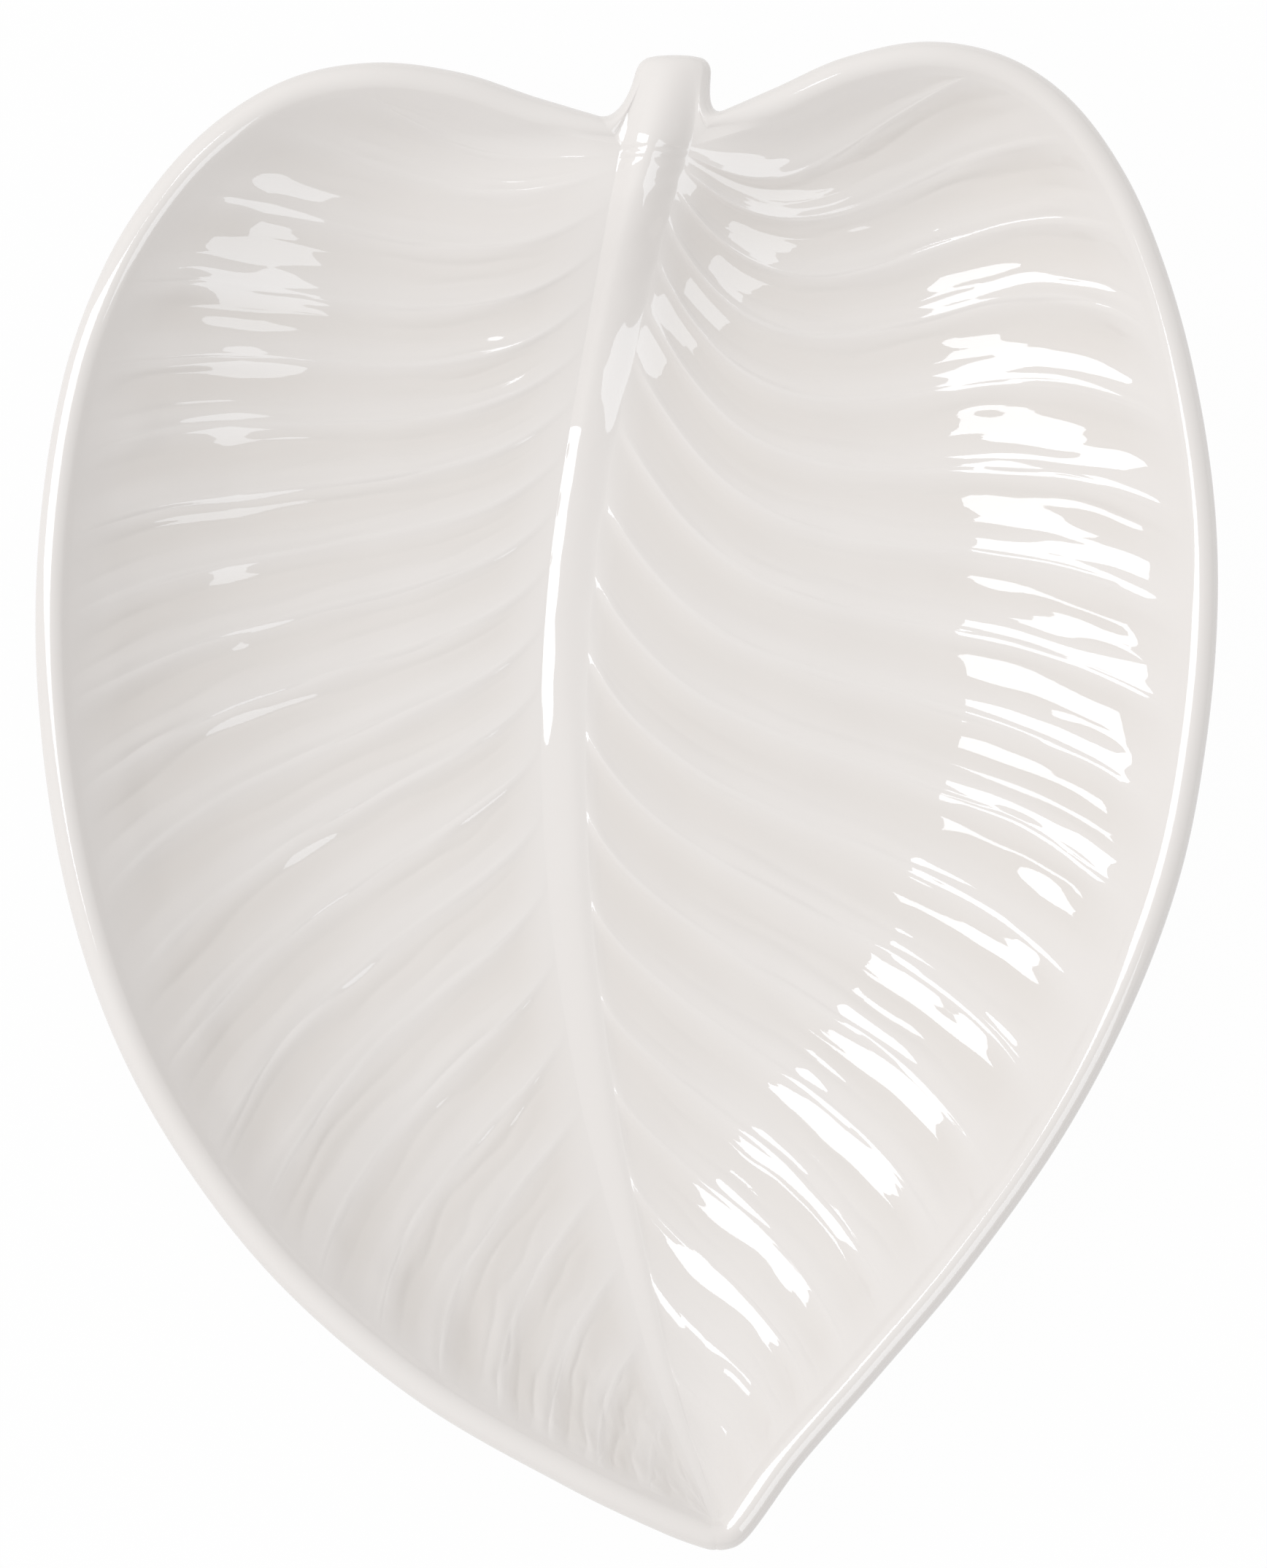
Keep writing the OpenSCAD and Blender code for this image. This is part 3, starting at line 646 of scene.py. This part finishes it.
# Foot ring: thrown on the underside, its rounded edge left bare of glaze
foot = {
    "width": 5 * mm,
    "clear": 8 * mm,  # inside the line where the underside begins to climb
    "edgeRadius": 1.2 * mm,
    "flare": 1.4 * mm,  # rounding into the underside
    "taper": 0.35 * mm,  # of each flank
    "corners": 260,
    "search": 26,  # halvings with which its line is found
    "roundSteps": 7,
    "glazeLine": (1.3 * mm, 1.6 * mm),  # height from bare clay to full glaze, and how it wavers
    "waver": 0.9 * mm,
    "waverNoise": (60.0, 2.0, 2.0),  # every noise: scale, detail, seed
    "clay": ((198, 187, 170), (222, 213, 199)),
    "clayRoughness": 0.85,
    "grainNoise": (2200.0, 3.0, 4.0),
    "grainStrength": 0.6,
    "grainDepth": 0.08 * mm,
}


def footReach(inset):
    angles = np.linspace(0, 2 * math.pi, foot["corners"], endpoint=False)
    ways = np.column_stack([np.cos(angles), np.sin(angles)])
    low, high = np.zeros(len(ways)), np.full(len(ways), leaf["width"] / 2)
    for _ in range(foot["search"]):
        middle = (low + high) / 2
        inside = nearEdge(ways * middle[:, None])[0] > inset
        low, high = np.where(inside, middle, low), np.where(inside, high, middle)
    return ways, low


def makeFootRing():
    inset = leaf["underReach"] + foot["clear"]
    ways, outer = footReach(inset)
    _, inner = footReach(inset + foot["width"])
    turns = np.linspace(0, math.pi / 2, foot["roundSteps"] + 1)
    radius, flare, taper = foot["edgeRadius"], foot["flare"], foot["taper"]
    # One flank from the underside down to the table: distance into the ring, and height
    flank = [(-flare * (1 - math.sin(a)), footHeight - flare * (1 - math.cos(a))) for a in turns]
    flank += [(taper + radius * (1 - math.cos(a)), radius * (1 - math.sin(a))) for a in turns]
    section = flank + [(foot["width"] - depth, height) for depth, height in flank[::-1]]
    section = section + section[:1]
    piece = Piece()
    loops = []
    for depth, height in section:
        reach = mixed(outer, inner, depth / foot["width"])
        loops.append(np.column_stack([ways * reach[:, None], np.full(len(ways), height)]))
    ids = piece.add(np.array(loops))
    ids = np.column_stack([ids, ids[:, 0]])
    piece.grid(ids[:-1], turned=True)
    piece.grid(ids[-2:], skin=False, turned=True)
    return piece.finish("footRing")


# Materials
glaze = {
    "colour": (233, 229, 226),
    "ribLitColour": (234, 230, 227),  # painted a shade lighter on the midrib and the stem, as raised parts that catch the light
    # darker and warmer in the grooves: glaze pooled there, and painted shade
    "poolShadeColour": (222, 216, 210),
    "roughness": 0.018,
    "cloudNoise": (18.0, 2.0, 1.0),
    # Specks and pinholes: scale, radius, share of the cells, seed, strength and colour
    "speck": (42.0, 0.035, 0.2, 0.0, 0.09, (120, 112, 104)),
    "pinhole": (75.0, 0.014, 0.1, 5.0, 0.5, (110, 100, 92)),
    "markCore": 0.3,  # share of a mark's radius that is fully dark
    "pinholeRoughness": 0.3,
    "peelNoise": (260.0, 2.0, 3.0),  # fine unevenness of its skin
    "peelStrength": 0.06,
    "peelDepth": 0.02 * mm,
}


def linear(colour):
    shares = [channel / 255 for channel in colour]
    return [c / 12.92 if c <= 0.04045 else ((c + 0.055) / 1.055) ** 2.4 for c in shares] + [1]


def feed(tree, socket, value):
    if isinstance(value, bpy.types.NodeSocket):
        tree.links.new(value, socket)
    else:
        socket.default_value = value


# A node with its settings, and what goes into its sockets, by their names or numbers
def addNode(tree, kind, inputs=None, **settings):
    node = tree.nodes.new(kind)
    for name, value in settings.items():
        setattr(node, name, value)
    for socket, value in (inputs or {}).items():
        feed(tree, node.inputs[socket], value)
    return node


def maths(tree, operation, *values):
    return addNode(tree, "ShaderNodeMath", dict(enumerate(values)), operation=operation).outputs[0]


def times(tree, a, b):
    return maths(tree, "MULTIPLY", a, b)


def noise(tree, vector, scale, detail, seed):
    inputs = {"Vector": vector, "W": seed, "Scale": scale, "Detail": detail}
    return addNode(tree, "ShaderNodeTexNoise", inputs, noise_dimensions="4D").outputs[0]


# Noise around zero
def swing(tree, vector, scale, detail, seed):
    return maths(tree, "SUBTRACT", noise(tree, vector, scale, detail, seed), 0.5)


def remap(tree, value, low, high, newLow=0.0, newHigh=1.0):
    inputs = dict(enumerate((value, low, high, newLow, newHigh)))
    return addNode(tree, "ShaderNodeMapRange", inputs, interpolation_type="SMOOTHSTEP").outputs[0]


def mixColours(tree, share, a, b):
    return addNode(tree, "ShaderNodeMix", {0: share, 6: a, 7: b}, data_type="RGBA").outputs[2]


def mixShaders(tree, share, a, b):
    return addNode(tree, "ShaderNodeMixShader", {0: share, 1: a, 2: b}).outputs[0]


def addBump(tree, shader, strength, distance, height):
    inputs = {"Strength": strength, "Distance": distance, "Height": height}
    bump = addNode(tree, "ShaderNodeBump", inputs)
    feed(tree, shader.inputs["Normal"], bump.outputs["Normal"])


def newGroup(name, kind, inputs, outputs):
    tree = bpy.data.node_groups.new(name, kind)
    for way, sockets in (("INPUT", inputs), ("OUTPUT", outputs)):
        for label, socketType, value in sockets:
            socket = tree.interface.new_socket(label, in_out=way, socket_type="NodeSocket" + socketType)
            if value is not None:
                socket.default_value = value
    return tree, tree.nodes.new("NodeGroupInput").outputs, tree.nodes.new("NodeGroupOutput").inputs


# Colour, gloss and fine unevenness of the glaze, with its faint iron specks and pinholes, and a darker
# colour in the grooves that is pooled glaze and painted shade
def makeGlazeSkin():
    tree, given, result = newGroup("glazeSkin", "ShaderNodeTree", [
        ("Colour", "Color", linear(glaze["colour"])),
        ("Pool Shade Colour", "Color", linear(glaze["poolShadeColour"])),
        ("Pool Shading", "Float", 0.0),
        ("Mottle", "Float", 0.5),
        ("Roughness", "Float", glaze["roughness"]),
    ], [("Colour", "Color", None), ("Roughness", "Float", None), ("Height", "Float", None)])
    place = tree.nodes.new("ShaderNodeTexCoord").outputs["Object"]
    cloud = times(tree, swing(tree, place, *glaze["cloudNoise"]), given["Mottle"])
    poolShadeShare = addNode(tree, "ShaderNodeClamp", {0: maths(tree, "ADD", given["Pool Shading"], cloud)}).outputs[0]
    base = mixColours(tree, poolShadeShare, given["Colour"], given["Pool Shade Colour"])
    for scale, radius, chance, seed, strength, colour in (glaze["speck"], glaze["pinhole"]):
        inputs = {"Vector": place, "W": seed, "Scale": scale}
        spots = addNode(tree, "ShaderNodeTexVoronoi", inputs, voronoi_dimensions="4D").outputs
        picked = addNode(tree, "ShaderNodeSeparateColor", {0: spots["Color"]}).outputs[0]
        dot = remap(tree, spots["Distance"], radius, radius * glaze["markCore"])
        mark = times(tree, maths(tree, "LESS_THAN", picked, chance), dot)
        base = mixColours(tree, times(tree, mark, strength), base, linear(colour))
    feed(tree, result["Colour"], base)
    # The last marks are the pinholes, which are duller and lie deeper
    rough = maths(tree, "MULTIPLY_ADD", mark, glaze["pinholeRoughness"], given["Roughness"])
    feed(tree, result["Roughness"], rough)
    peel = noise(tree, place, *glaze["peelNoise"])
    feed(tree, result["Height"], maths(tree, "SUBTRACT", peel, mark))
    return tree


def newMaterial(name):
    material = bpy.data.materials.new(name)
    material.use_nodes = True
    tree = material.node_tree
    return material, tree, tree.nodes["Principled BSDF"]


def makeGlaze(name, colour, poolShading, mottle):
    material, tree, shader = newMaterial(name)
    own = {"Colour": linear(colour), "Mottle": mottle}
    # The grooves take the darker colour: pooled glaze and painted shade
    if poolShading:
        poolShade = addNode(tree, "ShaderNodeAttribute", attribute_name="poolShade").outputs["Fac"]
        own["Pool Shading"] = times(tree, poolShade, poolShading)
    skin = addNode(tree, "ShaderNodeGroup", own, node_tree=glazeSkin).outputs
    feed(tree, shader.inputs["Base Color"], skin["Colour"])
    feed(tree, shader.inputs["Roughness"], skin["Roughness"])
    addBump(tree, shader, glaze["peelStrength"], glaze["peelDepth"], skin["Height"])
    return material


# Pinched veins: a sharp groove behind each crest, and fine ribs between, pressed into the dish
# The names with capitals are inputs of the tree.
relief = {
    "Crest Height": {left: 0.62 * mm, right: 1.1 * mm},
    "Early": {left: 0.0, right: 1.0},  # 0 where a vein rises as in along, 1 as in earlyAlong
    "Fine Height": 0.38 * mm,
    "Fine Ribs": 3.0,  # from one vein to the next
    "Wander": 0.07,  # of the veins, as a share of the way to the next one
    "Unevenness": 1.3 * mm,
    "Seed": 7.0,
    # Scale and detail of each noise, and what some add to the seed
    "wanderNoise": (30.0, 1.0),
    "unevenNoise": (55.0, 1.0),
    "unevenSeed": 9.0,
    "driftNoise": (0.7, 1.0),
    "sizeNoise": (0.5, 0.0),
    "sizeSeed": 4.0,
    "fineStretch": 6.0,  # how fast the fine ribs change along a vein
    "fineDrift": 1.6,  # and how far they drift aside
    "fineSizes": (0.35, 0.65, 0.2),  # noise of the smallest and the largest, share of the smallest
    # From one crest to the next, at the midrib and further out: share of the way, and height
    "pleat": [(0, 1), (0.05, 0.82), (0.12, 0.4), (0.2, 0.12), (0.32, 0.02), (0.48, 0.04), (0.66, 0.2),
              (0.84, 0.52), (0.94, 0.84), (1, 1)],
    "pillow": [(0, 1), (0.03, 0.95), (0.1, 0.68), (0.2, 0.36), (0.31, 0.1), (0.4, 0.02), (0.49, 0.07),
               (0.62, 0.33), (0.76, 0.65), (0.85, 0.78), (0.91, 0.8), (0.95, 0.86), (0.98, 0.97), (1, 1)],
    "pleatTo": 0.45,  # share of the way to the lip where the pleats have become pillows
    # Along a vein from the midrib to the lip: share of the way, and share of its height
    "along": [(0, 0), (0.05, 0.22), (0.11, 0.55), (0.2, 0.88), (0.3, 0.86), (0.5, 0.72), (0.7, 0.84),
              (0.85, 0.9), (0.94, 0.5), (1, 0)],
    "earlyAlong": [(0, 0), (0.03, 0.5), (0.08, 0.85), (0.2, 0.88), (0.3, 0.8), (0.5, 0.66), (0.7, 0.84),
                   (0.85, 0.9), (0.94, 0.5), (1, 0)],
    "mean": 0.5,  # height that stays where the dish is
}


def shapeCurve(tree, value, points):
    node = tree.nodes.new("ShaderNodeFloatCurve")
    curve = node.mapping.curves[0]
    for x, y in points[1:-1]:
        curve.points.new(x, y)
    curve.points[0].location = points[0]
    curve.points[len(points) - 1].location = points[-1]
    for point in curve.points:
        point.handle_type = "AUTO_CLAMPED"
    node.mapping.update()
    feed(tree, node.inputs["Value"], value)
    return node.outputs[0]


def readAttribute(tree, name):
    return addNode(tree, "GeometryNodeInputNamedAttribute", {"Name": name}, data_type="FLOAT").outputs[0]


def mixedValues(tree, a, b, share):
    return maths(tree, "MULTIPLY_ADD", maths(tree, "SUBTRACT", b, a), share, a)


# Bulges of differing height that run along the veins and drift a little from them
def makeFineRibs(tree, ribbed, way, given):
    stretched = times(tree, way, relief["fineStretch"])
    place = addNode(tree, "ShaderNodeCombineXYZ", {0: ribbed, 1: stretched}).outputs[0]
    drift = swing(tree, place, *relief["driftNoise"], given["Seed"])
    phase = maths(tree, "FRACT", maths(tree, "MULTIPLY_ADD", drift, relief["fineDrift"], ribbed))
    bulge = times(tree, times(tree, phase, maths(tree, "SUBTRACT", 1.0, phase)), 4.0)
    size = noise(tree, place, *relief["sizeNoise"], maths(tree, "ADD", given["Seed"], relief["sizeSeed"]))
    height = times(tree, remap(tree, size, *relief["fineSizes"]), given["Fine Height"])
    return times(tree, bulge, height)


def makeVeinRelief():
    names = ["Crest Height", "Early", "Fine Height", "Fine Ribs", "Wander", "Unevenness", "Seed"]
    tree, given, result = newGroup("veinRelief", "GeometryNodeTree", [
        ("Geometry", "Geometry", None), *[(name, "Float", 0.0) for name in names],
        ("Glaze", "Material", None),
    ], [("Geometry", "Geometry", None)])
    tree.is_modifier = True
    place = tree.nodes.new("GeometryNodeInputPosition").outputs[0]
    number, way, fade = (readAttribute(tree, name) for name in ("veinNumber", "veinWay", "veinFade"))
    sway = swing(tree, place, *relief["wanderNoise"], given["Seed"])
    swayed = maths(tree, "MULTIPLY_ADD", sway, times(tree, given["Wander"], 2.0), number)
    phase = maths(tree, "FRACT", swayed)
    pleat, pillow = (shapeCurve(tree, phase, relief[name]) for name in ("pleat", "pillow"))
    outward = remap(tree, way, 0.0, relief["pleatTo"])
    section = mixedValues(tree, pleat, pillow, outward)
    late, early = (shapeCurve(tree, way, relief[name]) for name in ("along", "earlyAlong"))
    along = times(tree, mixedValues(tree, late, early, given["Early"]), fade)
    crest = times(tree, maths(tree, "SUBTRACT", section, relief["mean"]), given["Crest Height"])
    fine = makeFineRibs(tree, times(tree, swayed, given["Fine Ribs"]), way, given)
    unevenSeed = maths(tree, "ADD", given["Seed"], relief["unevenSeed"])
    uneven = swing(tree, place, *relief["unevenNoise"], unevenSeed)
    rough = maths(tree, "MULTIPLY_ADD", uneven, given["Unevenness"], fine)
    rise = times(tree, maths(tree, "MULTIPLY_ADD", rough, outward, crest), along)
    normal = tree.nodes.new("GeometryNodeInputNormal").outputs[0]
    offset = addNode(tree, "ShaderNodeVectorMath", {0: normal, "Scale": rise}, operation="SCALE")
    moved = addNode(tree, "GeometryNodeSetPosition", {
        "Geometry": given["Geometry"], "Offset": offset.outputs[0],
    })
    # How far down a groove each point lies, which darkens the glaze there as pooled glaze and painted
    # shade
    stored = addNode(tree, "GeometryNodeStoreNamedAttribute", {
        "Geometry": moved.outputs[0], "Name": "poolShade",
        "Value": times(tree, maths(tree, "SUBTRACT", 1.0, section), along),
    }, data_type="FLOAT", domain="POINT")
    whole = addNode(tree, "GeometryNodeRealizeInstances", {0: stored.outputs[0]})
    glazed = addNode(tree, "GeometryNodeSetMaterial", {
        "Geometry": whole.outputs[0], "Material": given["Glaze"],
    })
    feed(tree, result["Geometry"], glazed.outputs[0])
    return tree


# Runs a tree on a piece and keeps the result as its plain mesh
def pressRelief(piece, tree, settings):
    modifier = piece.modifiers.new("veins", "NODES")
    modifier.node_group = tree
    for socket in tree.interface.items_tree:
        if socket.in_out == "INPUT" and socket.name in settings:
            modifier[socket.identifier] = settings[socket.name]
    bpy.context.view_layer.update()
    evaluated = piece.evaluated_get(bpy.context.evaluated_depsgraph_get())
    mesh = bpy.data.meshes.new_from_object(evaluated)
    piece.modifiers.remove(modifier)
    piece.data = mesh
    mesh.name = piece.name


# One value of all items of a mesh, such as the area of its faces
def readAll(items, name, kind=float, width=1):
    values = np.empty(len(items) * width, kind)
    items.foreach_get(name, values)
    return values.reshape(-1, width) if width > 1 else values


# One smooth skin: the pieces share their normals where their skins meet, as one glaze covers them
def shareNormals(pieces):
    owners, spots, skins = [], [], []
    for piece in pieces:
        mesh = piece.data
        counts = readAll(mesh.polygons, "loop_total", int)
        flat, area = readAll(mesh.polygons, "normal", width=3), readAll(mesh.polygons, "area")
        skin = readAll(mesh.attributes["skin"].data, "value", bool)
        faceOf = np.repeat(np.arange(len(counts)), counts)
        owners.append((mesh, faceOf, flat, skin))
        spots.append(readAll(mesh.vertices, "co", width=3)[readAll(mesh.loops, "vertex_index", int)])
        skins.append((flat * (area * skin)[:, None])[faceOf])
    keys = np.round(np.concatenate(spots) / meetGap).astype(np.int64)
    _, same = np.unique(keys, axis=0, return_inverse=True)
    same = same.ravel()
    pulls = np.concatenate(skins)
    total = np.column_stack([np.bincount(same, pulls[:, axis]) for axis in range(3)])
    total /= np.maximum(np.linalg.norm(total, axis=1), 1e-20)[:, None]
    shared = total[same]
    start = 0
    for mesh, faceOf, flat, skin in owners:
        own = shared[start:start + len(faceOf)]
        start += len(faceOf)
        normals = np.where(skin[faceOf][:, None], own, flat[faceOf])
        mesh.normals_split_custom_set(normals.tolist())


glazeSkin = makeGlazeSkin()
dishGlaze = makeGlaze("dishGlaze", glaze["colour"], poolShading=0.5, mottle=0.5)
# The midrib and the stem are painted a shade lighter, as if lit
ribGlaze = makeGlaze("ribGlaze", glaze["ribLitColour"], poolShading=0, mottle=0.3)
lipGlaze = makeGlaze("lipGlaze", glaze["colour"], poolShading=0, mottle=0.5)


# Bare clay on the foot's edge, with the glaze wiped back to a wavering line
def makeBareFoot():
    material, tree, shader = newMaterial("bareFoot")
    skin = addNode(tree, "ShaderNodeGroup", node_tree=glazeSkin).outputs
    place = tree.nodes.new("ShaderNodeTexCoord").outputs["Object"]
    height = addNode(tree, "ShaderNodeSeparateXYZ", {0: place}).outputs["Z"]
    waver = times(tree, swing(tree, place, *foot["waverNoise"]), foot["waver"])
    glazed = remap(tree, maths(tree, "ADD", height, waver), *foot["glazeLine"])
    grain = noise(tree, place, *foot["grainNoise"])
    clay = mixColours(tree, grain, *(linear(colour) for colour in foot["clay"]))
    feed(tree, shader.inputs["Base Color"], mixColours(tree, glazed, clay, skin["Colour"]))
    rough = remap(tree, glazed, 0.0, 1.0, foot["clayRoughness"], glaze["roughness"])
    feed(tree, shader.inputs["Roughness"], rough)
    bare = maths(tree, "SUBTRACT", 1.0, glazed)
    addBump(tree, shader, foot["grainStrength"], foot["grainDepth"], times(tree, grain, bare))
    return material


bareFoot = makeBareFoot()
veinRelief = makeVeinRelief()
print("glazes and vein relief ready")

pieces = {}
for side in (left, right):
    blade = makeBlade(side)
    own = {name: relief[name][side] for name in ("Crest Height", "Early")}
    own.update({"Seed": relief["Seed"] + side, "Glaze": dishGlaze})
    pressRelief(blade, veinRelief, {**relief, **own})
    pieces[sideNames[side] + "_blade"] = (blade, "dish_glaze", dishGlaze)
    print(blade.name, "pressed:", len(blade.data.polygons), "faces")
pieces["midrib"] = (makeMidrib(), "rib_glaze", ribGlaze)
pieces["stem"] = (makeStem(), "rib_glaze", ribGlaze)
for side in (left, right):
    pieces[sideNames[side] + "_rim"] = (makeLip(side), "lip_glaze", lipGlaze)
pieces["foot_ring"] = (makeFootRing(), "bare_foot", bareFoot)
shareNormals([piece for piece, slot, material in pieces.values()])
print("midrib, stem, lips and foot ring made, normals shared")

for node, (piece, slot, material) in pieces.items():
    if not piece.data.materials:
        piece.data.materials.append(material)
    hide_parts(node)
    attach(piece, "root")

# Stage: a white floor that keeps a soft shadow, soft boxes at the left and the right, a plain sky
stage = {
    "floorRadius": 4.0,
    "floorCorners": 96,
    "floorRoughness": 0.9,
    "floorColour": (235, 235, 235),
    "floorGlow": 0.97,
    "skyTop": (0.79, 1.24),  # away from the brighter side, and towards it
    "skyLow": (0.42, 1.04),
    "skyLowHeight": (0.1, 0.55),  # where the low sky ends
    "skyFrom": (-1.0, 0.2, 0.0),  # the brighter side
    "skyTurn": (-0.7, 0.7),  # how far round it goes from one level to the other
    "boxColour": (0.88, 0.94, 1),
}
lamps = {
    # Azimuth from +X towards +Y and elevation in degrees, distance, width, height, radiance
    "leftBox": (162, 48, 1.1, 0.32, 1.06, 6.4),
    "rightBox": (-39, 45, 1.1, 0.56, 0.66, 3.1),
}


def makeFloor():
    mesh = bpy.data.meshes.new("floor")
    turns = np.linspace(0, 2 * math.pi, stage["floorCorners"], endpoint=False)
    radius = stage["floorRadius"]
    corners = [(radius * math.cos(a), radius * math.sin(a), 0) for a in turns]
    mesh.from_pydata(corners, [], [list(range(len(corners)))])
    material, tree, shader = newMaterial("floorWhite")
    feed(tree, shader.inputs["Base Color"], linear(stage["floorColour"]))
    feed(tree, shader.inputs["Roughness"], stage["floorRoughness"])
    glow = tree.nodes.new("ShaderNodeEmission").outputs[0]
    rays = tree.nodes.new("ShaderNodeLightPath").outputs
    seen = maths(tree, "MAXIMUM", rays["Is Camera Ray"], rays["Is Glossy Ray"])
    seen = maths(tree, "MAXIMUM", seen, rays["Is Transmission Ray"])
    share = times(tree, seen, stage["floorGlow"])
    mix = mixShaders(tree, share, shader.outputs[0], glow)
    feed(tree, tree.nodes["Material Output"].inputs["Surface"], mix)
    mesh.materials.append(material)
    addObject("floor", mesh)


def makeSky():
    world = bpy.data.worlds.new("sky")
    world.use_nodes = True
    tree = world.node_tree
    plain = tree.nodes["Background"]
    way = tree.nodes.new("ShaderNodeTexCoord").outputs["Generated"]
    brighter = Vector(stage["skyFrom"]).normalized()
    dot = addNode(tree, "ShaderNodeVectorMath", {0: way, 1: brighter}, operation="DOT_PRODUCT")
    turn = dot.outputs["Value"]
    low, top = (remap(tree, turn, *stage["skyTurn"], *stage[name]) for name in ("skyLow", "skyTop"))
    height = addNode(tree, "ShaderNodeSeparateXYZ", {0: way}).outputs["Z"]
    feed(tree, plain.inputs["Strength"], remap(tree, height, *stage["skyLowHeight"], low, top))
    white = addNode(tree, "ShaderNodeBackground")
    for background in (plain, white):
        feed(tree, background.inputs["Color"], (1, 1, 1, 1))
    seen = tree.nodes.new("ShaderNodeLightPath").outputs["Is Camera Ray"]
    mix = mixShaders(tree, seen, plain.outputs[0], white.outputs[0])
    feed(tree, tree.nodes["World Output"].inputs["Surface"], mix)
    bpy.context.scene.world = world


# Sets a lamp or the camera at a distance from the place that it looks at
def hang(name, data, azimuth, elevation, distance, target=(0, 0, 0)):
    azimuth, elevation = math.radians(azimuth), math.radians(elevation)
    flat = math.cos(elevation)
    way = Vector((flat * math.cos(azimuth), flat * math.sin(azimuth), math.sin(elevation)))
    holder = addObject(name, data)
    holder.location = Vector(target) + way * distance
    holder.rotation_euler = (-way).to_track_quat("-Z", "Y").to_euler()
    return holder


def makeLamp(name, azimuth, elevation, distance, width, height, radiance):
    lamp = bpy.data.lights.new(name, "AREA")
    lamp.shape, lamp.size, lamp.size_y = "RECTANGLE", width, height
    lamp.energy = math.pi * width * height * radiance
    lamp.color = stage["boxColour"]
    holder = hang(name, lamp, azimuth, elevation, distance)
    holder.visible_diffuse = False  # the sky alone gives the even light, the boxes their reflections


camera = {
    "azimuth": -90.0,
    "elevation": 86.0,
    "distance": 1.6,
    "frameHeight": 310.5 * mm,  # what the picture's height spans at the rim
    "target": (1.2 * mm, 1.8 * mm, 36 * mm),
    "sensor": 24,
    "reach": 100,
}


def makeCamera():
    lens = bpy.data.cameras.new("camera")
    lens.sensor_fit, lens.sensor_height = "VERTICAL", camera["sensor"]
    lens.lens = camera["sensor"] * camera["distance"] / camera["frameHeight"]
    lens.clip_end = camera["reach"]
    where = [camera[name] for name in ("azimuth", "elevation", "distance", "target")]
    bpy.context.scene.camera = hang("camera", lens, *where)


makeFloor()
makeSky()
for name, values in lamps.items():
    makeLamp(name, *values)
makeCamera()
bpy.context.scene.view_settings.view_transform = "Standard"
print("floor, sky, lamps and camera set")
